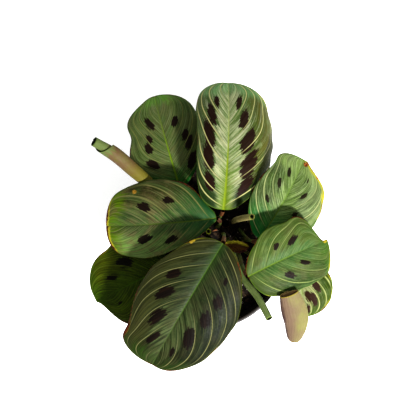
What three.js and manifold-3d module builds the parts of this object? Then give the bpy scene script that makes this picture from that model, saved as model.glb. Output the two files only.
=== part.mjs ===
// Potted prayer plant: a 12 cm nursery pot of soil with eight open leaves and five rolled ones.
// Millimetres, +Z up, origin on the resting face at the pot's axis.
import * as THREE from "three";
import { mergeVertices } from "three/addons/utils/BufferGeometryUtils.js";
import Module from "manifold-3d";

const wasm = await Module();
wasm.setup();

// Pot, a round nursery pot
const POT_RIM_RADIUS = 60;
const POT_HEIGHT = 100;
const RIM_BAND = 13;
const RIM_WIDTH = 2.7;
const POT_FOOT_RADIUS = 42.5;
const POT_WALL = 1.4;
const POT_FLOOR = 3.5;
const FOOT_RECESS = 2;
const PAD_RADIUS = 16;
const DRAIN_HOLES = 8;
const DRAIN_RADIUS = 4.5;
const DRAIN_RING = 26;
const POT_SEGMENTS = 56;
const DRILL_LENGTH = 40;
const DRILL_SIDES = 16;

// Soil
const SOIL_TOP = 88;
const SOIL_BUMP = 1.1;
const FIT_GAP = 0.4;
const STALK_DEPTH = 9;
const HOLE_CLEARANCE = 0.7;
const SOIL_RINGS = 9;
const SOIL_SEGMENTS = 40;
const HOLE_SIDES = 12;

// Leaves
const BLADE_THICKNESS = 0.7;
const BLADE_ROWS = 14;
const BLADE_HALF_COLUMNS = 5;
const END_BLUNTNESS = 0.85;
const BASE_HALF_WIDTH = 1.3;
const TIP_HALF_WIDTH = 0.4;
const ROW_SWEEP = 0.06;
const TIP_REACH = 0.2;
const MIDRIB_STEPS = 64;

// Stalks
const STALK_RADIUS = 1.3;
const JOINT_RADIUS = 1.8;
const JOINT_LENGTH = 7;
const STALK_SIDES = 8;
const STALK_STEPS = 12;
const STALK_GAP = 1.15;
const BEND_POINTS = 9;

// Rolled leaves
const SPIKE_SIDES = 10;
const SCROLL_PITCH = 1.25;
const BORE_TAPER = 0.8;

// Each open leaf: the midrib starts at base and runs along heading (degrees from +X towards +Y),
// turning by bend; rise and fall are its pitch at the base and at the tip. left and right are the
// half widths at six stations, 5, 19, 39, 61, 81 and 95 % of the length. fold lifts each half from
// the midrib and droop bends it down again towards the margin. bank tips the whole blade. point
// draws the tip out, or in where it is below zero. The stalk stands in the soil at its root, and
// lean gives the two points that pull its curve on the way to the base of the leaf.
const LEAVES = [
  {
    name: "top_centre", base: [12.5, 26.5, 137], heading: 84, bend: 7.5, length: 94.5,
    rise: 14, fall: -40, bank: -7, fold: [12, 12], droop: [54, 78], point: 1.0,
    left: [14.5, 20.5, 22.3, 22.7, 24, 18], right: [12, 26.5, 37.5, 41.3, 33.5, 24.5],
    root: [10, 20.5], lean: [[10, 20.5, 116], [10.5, 21.5, 130]],
  },
  {
    name: "top_left", base: [-18, 42, 110], heading: 107.5, bend: -3.5, length: 70.5,
    rise: 12, fall: -30, bank: 0, fold: [12, 12], droop: [40, 40], point: 1.0,
    left: [11.5, 22.5, 30, 24.5, 23.5, 10.5], right: [9, 18.5, 24.5, 28, 25.5, 16.5],
    root: [5, 20], lean: [[4, 21, 108], [-10, 35, 102.5]],
  },
  {
    name: "left", base: [7.6, 20.8, 131], heading: 187.5, bend: -6.5, length: 78.6,
    rise: 6, fall: -24, bank: 0, fold: [12, 12], droop: [40, 40], point: 0.5,
    left: [5, 12, 19, 24, 22.5, 16], right: [8.5, 24, 31, 32, 27, 19],
    root: [8.5, 14], lean: [[9.5, 14.5, 111], [12.5, 18, 125]],
  },
  {
    name: "bottom", base: [12, 4, 151], heading: 238, bend: 4, length: 99.5,
    rise: 8, fall: -26, bank: 0, fold: [12, 12], droop: [42, 42], point: -0.4,
    left: [15, 27, 36.5, 35.5, 28.5, 15.5], right: [15.5, 25, 34, 34.5, 29, 24.5],
    root: [12.5, 9], lean: [[13, 10, 118], [13.5, 11, 143]],
  },
  {
    name: "lower_left", base: [-24.5, -11.5, 112], heading: 208, bend: -3, length: 61.5,
    rise: 4, fall: -18, bank: 0, fold: [8, 8], droop: [26, 26], point: -0.5,
    left: [14, 26.5, 33, 29.5, 22, 4], right: [14, 26.5, 33.5, 30, 26, 15.5],
    root: [3.5, 5], lean: [[2, 3, 106], [-13, -6, 107]],
  },
  {
    name: "right_low", base: [28.8, -18.6, 146], heading: 28, bend: -7, length: 60,
    rise: 8, fall: -22, bank: -7, fold: [10, 10], droop: [26, 42], point: 0.8,
    left: [9, 16.5, 23.5, 23, 21, 1.5], right: [15, 22.5, 26, 26.5, 25.5, 20],
    root: [22, 5], lean: [[22, 4, 108], [25.3, -15.1, 132]],
  },
  {
    name: "upper_right", base: [37.6, 6.5, 127.5], heading: 55, bend: 12, length: 64.5,
    rise: 24, fall: -16, bank: -9, fold: [12, 12], droop: [28, 28], point: -0.8,
    left: [9.5, 17.5, 22.5, 22.5, 18.5, 15.5], right: [11, 20.5, 27.5, 26.8, 20.5, 6],
    root: [25, 12], lean: [[26, 11, 107], [32, 0, 120]],
  },
  {
    name: "far_right", base: [67.5, -6.5, 106], heading: 273, bend: 2.5, length: 44.5,
    rise: 6, fall: -18, bank: 0, fold: [10, -12], droop: [26, 45], point: 0.3,
    left: [8.5, 16.5, 22, 22.5, 19, 11.5], right: [3.5, 6.5, 10, 14.5, 12.5, 5.5],
    root: [27, 5], lean: [[30, 4, 112], [65.5, 3, 98.5]],
  },
  {
    name: "old_small", finish: "oldLeaf", base: [14, 2.5, 125], heading: -3, bend: -9, length: 17,
    rise: 4, fall: -24, bank: 4, fold: [6, 8], droop: [70, 40], point: 0.5,
    left: [2, 3, 4, 4, 3, 2], right: [3, 4.5, 5.5, 5.5, 4.5, 2.5],
    root: [16.5, 5], lean: [[15, 5, 110], [9.5, 4.5, 118.5]],
  },
];

// Rolled leaves that are wound from a sheet: path is the middle line, and each station gives the
// share of the path, the outer radius across it, the number of turns, and the height of the roll
// as a share of its width. Its stalk ends at meet.
const SCROLLS = [
  {
    name: "roll_top_left",
    path: [[-76, 72.8, 139], [-62.7, 64.7, 131.5], [-49.5, 53.3, 122.5], [-32.5, 38.5, 112.6]],
    stations: [
      [0, 3.9, 1.15, 1], [0.07, 4.2, 1.35, 1], [0.18, 5.1, 1.8, 1], [0.28, 5.8, 2.3, 1],
      [0.55, 5.6, 2.2, 1], [0.75, 5.1, 2.1, 1], [0.88, 4.2, 1.8, 1], [1, 3.2, 1.1, 1],
    ],
    start: 200, rows: 14, columns: 28,
    stalk: "stalk_roll_top_left", root: [0.5, 17], lean: [[0, 19, 108], [-16, 28, 108]],
    meet: [-33.1, 39, 112.7],
  },
  {
    name: "roll_half_open",
    path: [[62, -63.9, 126.5], [62.5, -49, 135.5], [59.6, -38.1, 141.2], [56.7, -29.8, 146.3]],
    stations: [
      [0, 4.2, 1.04, 0.8], [0.05, 5.6, 1.05, 0.65], [0.2, 7.5, 1.08, 0.55], [0.44, 9.2, 1.1, 0.5],
      [0.58, 9.6, 1.1, 0.48], [0.75, 9.2, 1.12, 0.48], [0.87, 8.4, 1.14, 0.48], [1, 7.2, 1.15, 0.5],
    ],
    start: 215, rows: 14, columns: 22,
    stalk: "stalk_half_open", root: [24.5, -1], lean: [[40, -8, 132], [64, -42, 104.5]],
    meet: [62.2, -66, 123],
  },
];

// Tightly rolled leaves and small stumps drawn as round rods: radii are spread evenly along the
// path, and bore is a blind hole in the far end.
const SPIKES = [
  {
    name: "roll_spike",
    path: [
      [19, 0.5, 79], [19, 0.5, 93], [20.5, -5, 103], [26, -20.5, 112], [37, -35, 123], [44.4, -48.8, 133],
    ],
    radii: [1.4, 1.5, 1.8, 2.3, 2.7, 2.7, 2.5], bore: { radius: 1.7, depth: 6 }, finish: "stalk",
  },
  {
    name: "roll_middle", path: [[2.3, 11.4, 79], [2.3, 11.4, 128]],
    radii: [1.4, 1.5, 1.8, 2, 2.1], bore: { radius: 0.8, depth: 5 }, finish: "roll",
  },
  {
    name: "roll_pale",
    path: [[19.5, 17, 79], [19.5, 17.2, 92], [21.3, 19.3, 118], [25, 20.8, 137], [31.5, 22, 153]],
    radii: [1.4, 1.5, 2.2, 2.4, 2.4, 2.3], bore: { radius: 0.8, depth: 5 }, finish: "roll",
  },
  {
    name: "sheath_middle", path: [[14.2, 16.2, 79], [14.2, 16.2, 92], [14.6, 16.6, 108]],
    radii: [2.9, 3, 3.1], bore: { radius: 2.3, depth: 8 }, finish: "dry",
  },
  {
    name: "bract_dry_left", path: [[-4.2, 8.8, 119], [-2, 10.4, 121], [-0.2, 11.2, 121]],
    radii: [0.5, 0.9, 0.6], finish: "dry",
  },
  {
    name: "bract_dry_right", path: [[4.9, 11.6, 121], [7, 12.3, 120], [8.6, 12.2, 118]],
    radii: [0.5, 0.7, 0.5], finish: "dry",
  },
];

const FINISHES = {
  pot: { color: 0x4a4340, roughness: 0.55 },
  soil: { color: 0x2a211b, roughness: 0.95 },
  leaf: { color: 0x4f7d3a, roughness: 0.5 },
  oldLeaf: { color: 0x8a6a2a, roughness: 0.7 },
  roll: { color: 0x9aa35c, roughness: 0.6 },
  dry: { color: 0x5a2f1f, roughness: 0.8 },
  stalk: { color: 0x7a8a3e, roughness: 0.6 },
};

const part = new THREE.Group();
part.name = "potted_prayer_plant";

// Geometry helpers

function radians(degrees) {
  return (degrees * Math.PI) / 180;
}

function mix(a, b, t) {
  return a + (b - a) * t;
}

function toGeometry(points, triangles) {
  const geometry = new THREE.BufferGeometry();
  geometry.setFromPoints(points);
  geometry.setIndex(triangles.flat());
  geometry.computeVertexNormals();
  return geometry;
}

function facingOutwards(points, triangles) {
  let volume = 0;
  for (const [a, b, c] of triangles) {
    volume += points[a].dot(new THREE.Vector3().crossVectors(points[b], points[c]));
  }
  return volume > 0 ? triangles : triangles.map(([a, b, c]) => [a, c, b]);
}

// The solid of a closed geometry, for cutting. The geometry's faces point out, or all point in.
function toSolid(geometry) {
  geometry.deleteAttribute("normal");
  geometry.deleteAttribute("uv");
  const merged = mergeVertices(geometry, 1e-3);
  const array = merged.attributes.position.array;
  const points = [];
  const triangles = [];
  for (let i = 0; i < array.length; i += 3) points.push(new THREE.Vector3().fromArray(array, i));
  for (let i = 0; i < merged.index.count; i += 3) {
    const corners = [0, 1, 2].map((k) => merged.index.getX(i + k));
    if (new Set(corners).size === 3) triangles.push(corners);
  }
  const triVerts = new Uint32Array(facingOutwards(points, triangles).flat());
  return new wasm.Manifold(new wasm.Mesh({ numProp: 3, vertProperties: array, triVerts }));
}

function fromSolid(solid) {
  const mesh = solid.getMesh();
  const geometry = new THREE.BufferGeometry();
  geometry.setAttribute("position", new THREE.Float32BufferAttribute(mesh.vertProperties, 3));
  geometry.setIndex(Array.from(mesh.triVerts));
  geometry.computeVertexNormals();
  return geometry;
}

function turned(profile, segments) {
  const outline = profile.map(([radius, height]) => new THREE.Vector2(radius, height));
  return new THREE.LatheGeometry(outline, segments).rotateX(Math.PI / 2);
}

function uprightHole(x, y, bottom, radius, sides) {
  const drill = new THREE.CylinderGeometry(radius, radius, DRILL_LENGTH, sides).rotateX(Math.PI / 2);
  return toSolid(drill.translate(x, y, bottom + DRILL_LENGTH / 2));
}

function addMesh(name, geometry, finish) {
  const material = new THREE.MeshStandardMaterial({ ...FINISHES[finish], metalness: 0 });
  const mesh = new THREE.Mesh(geometry, material);
  mesh.name = name;
  part.add(mesh);
}

function addSolid(name, { points, triangles }, finish) {
  addMesh(name, toGeometry(points, facingOutwards(points, triangles)), finish);
}

// A grid of points thickened into a closed sheet; both faces are split along the same diagonals.
function sheet(grid, thickness) {
  const rows = grid.length;
  const columns = grid[0].length;
  const front = [];
  const back = [];
  for (let i = 0; i < rows; i += 1) {
    for (let j = 0; j < columns; j += 1) {
      const along = grid[Math.min(i + 1, rows - 1)][j].clone().sub(grid[Math.max(i - 1, 0)][j]);
      const across = grid[i][Math.min(j + 1, columns - 1)].clone().sub(grid[i][Math.max(j - 1, 0)]);
      const normal = across.cross(along).normalize().multiplyScalar(thickness / 2);
      front.push(grid[i][j].clone().add(normal));
      back.push(grid[i][j].clone().sub(normal));
    }
  }
  const at = (i, j) => i * columns + j;
  const under = rows * columns;
  const triangles = [];
  for (let i = 0; i < rows - 1; i += 1) {
    for (let j = 0; j < columns - 1; j += 1) {
      const [a, b, c, d] = [at(i, j), at(i, j + 1), at(i + 1, j + 1), at(i + 1, j)];
      triangles.push([a, b, c], [a, c, d]);
      triangles.push([under + a, under + c, under + b], [under + a, under + d, under + c]);
    }
  }
  const edge = [];
  for (let j = 0; j < columns - 1; j += 1) edge.push(at(0, j));
  for (let i = 0; i < rows - 1; i += 1) edge.push(at(i, columns - 1));
  for (let j = columns - 1; j > 0; j -= 1) edge.push(at(rows - 1, j));
  for (let i = rows - 1; i > 0; i -= 1) edge.push(at(i, 0));
  for (let k = 0; k < edge.length; k += 1) {
    const a = edge[k];
    const b = edge[(k + 1) % edge.length];
    triangles.push([b, a, under + a], [b, under + a, under + b]);
  }
  return { points: [...front, ...back], triangles };
}

// A round rod along a curve: a cylinder whose rings are set on the curve, each at its own radius.
function rod(curve, radiusAt, sides, steps) {
  const geometry = new THREE.CylinderGeometry(1, 1, 1, sides, steps);
  const position = geometry.attributes.position;
  const { normals, binormals } = curve.computeFrenetFrames(steps, false);
  for (let i = 0; i < position.count; i += 1) {
    const k = Math.round((position.getY(i) + 0.5) * steps);
    const radius = radiusAt(k / steps);
    const point = curve.getPointAt(k / steps);
    point.addScaledVector(normals[k], radius * position.getX(i));
    point.addScaledVector(binormals[k], -radius * position.getZ(i));
    position.setXYZ(i, point.x, point.y, point.z);
  }
  return toSolid(geometry);
}

// A blind hole at the far end of a curve.
function endBore(curve, { radius, depth }, sides) {
  const drill = new THREE.CylinderGeometry(radius, radius * BORE_TAPER, 2 * depth, sides);
  const turn = new THREE.Quaternion().setFromUnitVectors(new THREE.Vector3(0, 1, 0), curve.getTangentAt(1));
  const end = curve.getPointAt(1);
  return toSolid(drill.applyQuaternion(turn).translate(end.x, end.y, end.z));
}

// Open leaves

// Half width at an angle from 0 (base) to pi (tip), a smooth curve through the six widths.
function halfWidth(widths, angle) {
  const count = widths.length;
  const share = widths.map((w, k) => w / Math.sin(((k + 1) * Math.PI) / (count + 1)) ** END_BLUNTNESS);
  const padded = [share[0], share[0], ...share, share[count - 1], share[count - 1], share[count - 1]];
  const x = Math.min((angle / Math.PI) * (count + 1), count + 1 - 1e-9) + 1;
  const i = Math.min(Math.max(Math.floor(x), 1), count + 1);
  const u = x - i;
  const [a, b, c, d] = [padded[i - 1], padded[i], padded[i + 1], padded[i + 2]];
  const smooth = b + 0.5 * u * (c - a + u * (2 * a - 5 * b + 4 * c - d + u * (3 * b - a - 3 * c + d)));
  const ends = mix(TIP_HALF_WIDTH, BASE_HALF_WIDTH, (1 + Math.cos(angle)) / 2);
  return Math.hypot(Math.sin(Math.min(Math.max(angle, 0), Math.PI)) ** END_BLUNTNESS * smooth, ends);
}

// Points along the midrib at equal steps.
function midrib(leaf, steps) {
  const points = [];
  const point = new THREE.Vector3(...leaf.base);
  for (let k = 0; k <= steps; k += 1) {
    points.push(point.clone());
    point.addScaledVector(direction(leaf, (k + 0.5) / steps).tangent, leaf.length / steps);
  }
  return points;
}

// The blade's own axes at a share of its length.
function direction(leaf, s) {
  const heading = radians(leaf.heading + leaf.bend * s);
  const pitch = radians(mix(leaf.rise, leaf.fall, s));
  const tangent = new THREE.Vector3(
    Math.cos(pitch) * Math.cos(heading),
    Math.cos(pitch) * Math.sin(heading),
    Math.sin(pitch),
  );
  const level = new THREE.Vector3(Math.sin(heading), -Math.cos(heading), 0);
  const over = new THREE.Vector3().crossVectors(level, tangent);
  const bank = radians(leaf.bank);
  const right = level.clone().multiplyScalar(Math.cos(bank)).addScaledVector(over, Math.sin(bank));
  const up = over.clone().multiplyScalar(Math.cos(bank)).addScaledVector(level, -Math.sin(bank));
  return { tangent, right, up };
}

// A point of the blade: angle runs from base to tip, across from -1 (left margin) to 1 (right).
function bladePoint(leaf, rib, angle, across) {
  const onRight = across >= 0 ? 1 : 0;
  const widths = onRight ? leaf.right : leaf.left;
  const out = Math.abs(across);
  const along = (1 - Math.cos(angle)) / 2;
  const swept = along - ROW_SWEEP * Math.sin(angle) ** 2 * (1 - out ** 1.5);
  const s = swept + (leaf.point / leaf.length) * Math.exp(-(((Math.PI - angle) / TIP_REACH) ** 2));
  const inside = Math.min(Math.max(s, 0), 1);
  const steps = rib.length - 1;
  const k = Math.min(Math.floor(inside * steps), steps - 1);
  const position = rib[k].clone().lerp(rib[k + 1], inside * steps - k);
  const { tangent, right, up } = direction(leaf, inside);
  position.addScaledVector(tangent, (s - inside) * leaf.length);
  const distance = out * halfWidth(widths, angle);
  const fold = radians(leaf.fold[onRight]);
  const curve = radians(leaf.droop[onRight]) / Math.max(...widths);
  const sideways = (Math.sin(fold) - Math.sin(fold - curve * distance)) / curve;
  const lift = (Math.cos(fold - curve * distance) - Math.cos(fold)) / curve;
  position.addScaledVector(right, (onRight ? 1 : -1) * sideways);
  position.addScaledVector(up, lift);
  return position;
}

function blade(leaf) {
  const rib = midrib(leaf, MIDRIB_STEPS);
  const grid = [];
  for (let i = 0; i <= BLADE_ROWS; i += 1) {
    const row = [];
    for (let j = -BLADE_HALF_COLUMNS; j <= BLADE_HALF_COLUMNS; j += 1) {
      row.push(bladePoint(leaf, rib, (Math.PI * i) / BLADE_ROWS, j / BLADE_HALF_COLUMNS));
    }
    grid.push(row);
  }
  return sheet(grid, BLADE_THICKNESS);
}

for (const leaf of LEAVES) {
  addSolid(`leaf_${leaf.name}`, blade(leaf), leaf.finish ?? "leaf");
}

// Stalks

function stalkCurve({ root, lean, meet }) {
  const foot = new THREE.Vector3(root[0], root[1], SOIL_TOP - STALK_DEPTH);
  const last = new THREE.Vector3(...meet);
  const before = new THREE.Vector3(...lean[1]);
  last.addScaledVector(new THREE.Vector3().subVectors(before, last).normalize(), STALK_GAP);
  const mouth = new THREE.Vector3(root[0], root[1], SOIL_TOP + 1);
  const bend = new THREE.CubicBezierCurve3(mouth, new THREE.Vector3(...lean[0]), before, last);
  return new THREE.CatmullRomCurve3([foot, ...bend.getPoints(BEND_POINTS)], false, "centripetal");
}

const STALKS = [
  ...LEAVES.map(({ name, root, lean, base }) => ({ name: `stalk_${name}`, root, lean, meet: base })),
  ...SCROLLS.map(({ stalk, root, lean, meet }) => ({ name: stalk, root, lean, meet })),
];

for (const stalk of STALKS) {
  const curve = stalkCurve(stalk);
  const length = curve.getLength();
  const radiusAt = (t) => ((1 - t) * length < JOINT_LENGTH ? JOINT_RADIUS : STALK_RADIUS);
  addMesh(stalk.name, fromSolid(rod(curve, radiusAt, STALK_SIDES, STALK_STEPS)), "stalk");
}

// Rolled leaves

function smoothCurve(path) {
  return new THREE.CatmullRomCurve3(path.map((p) => new THREE.Vector3(...p)), false, "centripetal");
}

function stationAt(stations, t) {
  let k = 0;
  while (k < stations.length - 2 && stations[k + 1][0] < t) k += 1;
  const share = (t - stations[k][0]) / (stations[k + 1][0] - stations[k][0]);
  const [, ...here] = stations[k];
  const [, ...next] = stations[k + 1];
  return here.map((value, i) => mix(value, next[i], share));
}

function scroll({ path, stations, start, rows, columns }) {
  const curve = smoothCurve(path);
  const grid = [];
  for (let i = 0; i <= rows; i += 1) {
    const t = i / rows;
    const centre = curve.getPointAt(t);
    const tangent = curve.getTangentAt(t);
    const level = new THREE.Vector3(tangent.y, -tangent.x, 0).normalize();
    const over = new THREE.Vector3().crossVectors(level, tangent);
    const [outer, turns, height] = stationAt(stations, t);
    const row = [];
    for (let j = 0; j <= columns; j += 1) {
      const turn = (turns * j) / columns;
      const angle = radians(start) + 2 * Math.PI * turn;
      const inset = BLADE_THICKNESS / 2 + SCROLL_PITCH * (turns - turn);
      const point = centre.clone().addScaledVector(level, (outer - inset) * Math.cos(angle));
      row.push(point.addScaledVector(over, (outer * height - inset) * Math.sin(angle)));
    }
    grid.push(row);
  }
  return sheet(grid, BLADE_THICKNESS);
}

for (const roll of SCROLLS) {
  addSolid(roll.name, scroll(roll), "roll");
}

function radiusAlong(radii, t) {
  const x = t * (radii.length - 1);
  const k = Math.min(Math.floor(x), radii.length - 2);
  return mix(radii[k], radii[k + 1], x - k);
}

for (const { name, path, radii, bore, finish } of SPIKES) {
  const curve = smoothCurve(path);
  let solid = rod(curve, (t) => radiusAlong(radii, t), SPIKE_SIDES, 3 * (radii.length - 1));
  if (bore) solid = solid.subtract(endBore(curve, bore, SPIKE_SIDES));
  addMesh(name, fromSolid(solid), finish);
}

// Pot

function innerRadius(height) {
  const rim = POT_RIM_RADIUS - RIM_WIDTH;
  return mix(POT_FOOT_RADIUS - POT_WALL, rim, height / POT_HEIGHT);
}

function pot() {
  const lipUnder = POT_HEIGHT - RIM_BAND;
  const profile = [
    [0, 0],
    [PAD_RADIUS, 0],
    [PAD_RADIUS + 1.5, FOOT_RECESS],
    [POT_FOOT_RADIUS - 5, FOOT_RECESS],
    [POT_FOOT_RADIUS - 3.5, 0],
    [POT_FOOT_RADIUS - 0.8, 0],
    [POT_FOOT_RADIUS, 0.8],
    [innerRadius(lipUnder) + POT_WALL, lipUnder],
    [POT_RIM_RADIUS - 0.6, lipUnder + 0.4],
    [POT_RIM_RADIUS, lipUnder + 1.2],
    [POT_RIM_RADIUS, POT_HEIGHT - 0.8],
    [POT_RIM_RADIUS - 0.8, POT_HEIGHT],
    [innerRadius(POT_HEIGHT) + 0.6, POT_HEIGHT],
    [innerRadius(POT_HEIGHT - 0.6), POT_HEIGHT - 0.6],
    [innerRadius(POT_FLOOR), POT_FLOOR],
    [0, POT_FLOOR],
  ];
  let solid = toSolid(turned(profile, POT_SEGMENTS));
  for (let k = 0; k < DRAIN_HOLES; k += 1) {
    const angle = (2 * Math.PI * k) / DRAIN_HOLES;
    const [x, y] = [DRAIN_RING * Math.cos(angle), DRAIN_RING * Math.sin(angle)];
    solid = solid.subtract(uprightHole(x, y, -DRILL_LENGTH / 2, DRAIN_RADIUS, DRILL_SIDES));
  }
  return fromSolid(solid);
}

addMesh("pot", pot(), "pot");

// Soil, with a plain hole for everything that stands in it

function soilBump(x, y) {
  const broad = Math.sin(x * 0.19 + 0.7) * Math.cos(y * 0.16 - 0.4);
  const lumps = Math.sin(x * 0.53 + y * 0.31) * Math.cos(y * 0.61 - x * 0.22 + 1.3);
  return SOIL_BUMP * (0.6 * broad + 0.4 * lumps);
}

function soil() {
  const topRadius = innerRadius(SOIL_TOP - SOIL_BUMP) - FIT_GAP;
  const bottom = POT_FLOOR + FIT_GAP;
  const profile = [];
  for (let i = 0; i <= SOIL_RINGS; i += 1) profile.push([(topRadius * i) / SOIL_RINGS, SOIL_TOP]);
  profile.push([innerRadius(bottom) - FIT_GAP, bottom], [0, bottom]);
  const plug = turned(profile, SOIL_SEGMENTS);
  const position = plug.attributes.position;
  for (let i = 0; i < position.count; i += 1) {
    if (position.getZ(i) > SOIL_TOP - 1) {
      position.setZ(i, SOIL_TOP + soilBump(position.getX(i), position.getY(i)));
    }
  }
  const standing = STALKS.map(({ root }) => [...root, STALK_RADIUS]);
  for (const { path, radii } of SPIKES) {
    if (path[0][2] < SOIL_TOP) standing.push([path[0][0], path[0][1], Math.max(radii[0], radii[1])]);
  }
  let solid = toSolid(plug);
  for (const [x, y, radius] of standing) {
    const bottomOfHole = SOIL_TOP - STALK_DEPTH - FIT_GAP;
    solid = solid.subtract(uprightHole(x, y, bottomOfHole, radius + HOLE_CLEARANCE, HOLE_SIDES));
  }
  return fromSolid(solid);
}

addMesh("soil", soil(), "soil");

export default part;
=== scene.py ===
"""Potted prayer plant: the leaves, rolls, stalks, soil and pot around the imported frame."""
import functools
import itertools
import math

import bpy
import numpy as np
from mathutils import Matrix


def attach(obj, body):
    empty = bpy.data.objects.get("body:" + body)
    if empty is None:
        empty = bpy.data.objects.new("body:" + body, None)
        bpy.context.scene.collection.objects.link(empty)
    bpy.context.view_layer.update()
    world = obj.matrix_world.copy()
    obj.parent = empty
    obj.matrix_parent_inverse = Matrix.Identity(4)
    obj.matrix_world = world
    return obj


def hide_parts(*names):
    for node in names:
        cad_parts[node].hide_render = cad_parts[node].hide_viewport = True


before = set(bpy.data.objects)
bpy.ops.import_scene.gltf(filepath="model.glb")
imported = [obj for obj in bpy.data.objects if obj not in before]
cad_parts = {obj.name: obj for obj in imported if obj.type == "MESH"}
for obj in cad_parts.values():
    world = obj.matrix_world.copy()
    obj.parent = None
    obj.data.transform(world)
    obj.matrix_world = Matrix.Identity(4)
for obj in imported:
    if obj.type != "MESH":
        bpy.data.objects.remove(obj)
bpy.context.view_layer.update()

MM = 0.001
RANDOM = np.random.default_rng(7)

# Camera: straight above the plant, up in the picture is +Y
CAMERA_PLACE = (1.9, 27.7, 800)
CAMERA_LENS = 84.0
CAMERA_SENSOR = 36

# Light, in metres, degrees and watts
KEY_DISTANCE = 1.4
KEY_ELEVATION = 47
KEY_AZIMUTH = -52
KEY_SIZE = 0.14
KEY_POWER = 32
KEY_AIM = 0.1
SKY_STRENGTH = 0.65
SKY_COLOUR = (0.96, 1.0, 0.97, 1.0)

# How much light falls on a level piece: colours are divided by it, so that they read as written
LIGHT_LEVEL = 1.9

# The floor is a table that is lit a little from within; reach and drop are in millimetres
FLOOR_COLOUR = (0.92, 0.89, 0.91, 1.0)
FLOOR_GRAIN = (0.96, 0.93, 0.95, 1.0)
FLOOR_GLOW = 0.25
FLOOR_REACH = 12000
FLOOR_DROP = 0.2

# Pot and soil, in millimetres like all sizes that follow. The pot stays a SKIN inside its solid.
POT_RIM_RADIUS = 60
POT_HEIGHT = 100
RIM_BAND = 13
RIM_WIDTH = 2.7
BAND_INSET = 0.5
POT_FOOT_RADIUS = 42.5
POT_WALL = 1.4
POT_FLOOR = 3.5
FOOT_RECESS = 2
PAD_RADIUS = 16
PAD_SLOPE = 1.5
DRAIN_HOLES = 8
DRAIN_RADIUS = 4.5
DRAIN_RING = 26
DRAIN_SEGMENTS = 32
POT_SEGMENTS = 192
POT_STEPS = 30
SKIN = 0.02
SOIL_TOP = 88
SOIL_LEVEL = SOIL_TOP - 0.6
SOIL_GAP = 0.55
SOIL_FOOT_GAP = 0.8
SOIL_UNDERSIDE = POT_FLOOR + 0.6
SOIL_RINGS = 110
SOIL_SEGMENTS = 300

# Colours of the pot: its black plastic, dust, light grains and the paler grey at the top of the rim
POT_BLACKS = ((44, 41, 40), (66, 61, 58))
POT_DUST = (92, 82, 72)
POT_GRAIN = (120, 108, 94)
POT_RIM_GREY = (96, 86, 80)

# Waves in the soil: height, length and number of sines
SOIL_WAVES = [(0.5, 6, 6), (0.3, 2.2, 8), (0.14, 0.8, 10)]

# Colours of the soil as seen on a screen: dark, light, specks
SOIL_COLOURS = ((26, 20, 16), (58, 44, 34), (104, 84, 64))

# Loose grains on the soil: number, sizes, how flat they are and how high they sit
GRAINS = [
    dict(
        name="soil_crumbs", count=4200, sizes=(0.35, 1.05), flat=0.5, seat=0.15,
        colours=((34, 25, 19), (82, 62, 46), (128, 104, 78)),
    ),
    dict(
        name="soil_perlite", count=150, sizes=(0.7, 1.25), flat=0.7, seat=0.35,
        colours=((150, 140, 124), (196, 188, 174), (214, 208, 196)),
    ),
]
GRAIN_MARGIN = 1.2
GRAIN_JITTER = (0.72, 1.1)
GOLDEN = 1.618

# Blades
BLADE_ROWS = 150
BLADE_COLUMNS = 30
COLUMN_SPREAD = 1.25
BLADE_THICKNESS = 0.5
END_BLUNTNESS = 0.85
BASE_HALF_WIDTH = 1.3
TIP_HALF_WIDTH = 0.4
LEAST_HALF_WIDTH = 0.15
ROW_SWEEP = 0.06
TIP_REACH = 0.2
MIDRIB_STEPS = 64
MARGIN_INSET = 0.33
QUILT_HEIGHT = 0.42
QUILT_FULL_GAP = 7
GROOVE_WIDTH = 0.9
GROOVE_ABOVE = 0.3
GROOVE_BELOW = 0.7
RIPPLE_HEIGHT = 0.35
RIPPLES = 5.5
MARGIN_STEPS = 3
SEAR_FADE = 0.25
SPECK_REACH = 1.4

# Veins: a side vein that leaves the midrib at a share of the length runs ever closer to the
# margin. VEIN_NEAR and VEIN_FAR say how fast, at the base of the leaf and towards its tip. VEINS
# are the shares that they leave at, for a leaf that has no list of its own.
VEIN_REACH = 1.03
VEIN_NEAR = 0.26
VEIN_FAR = 1.45
VEINS = [-0.17, -0.07, 0.01, 0.085, 0.18, 0.29, 0.435, 0.61, 0.8, 1.02]

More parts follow.
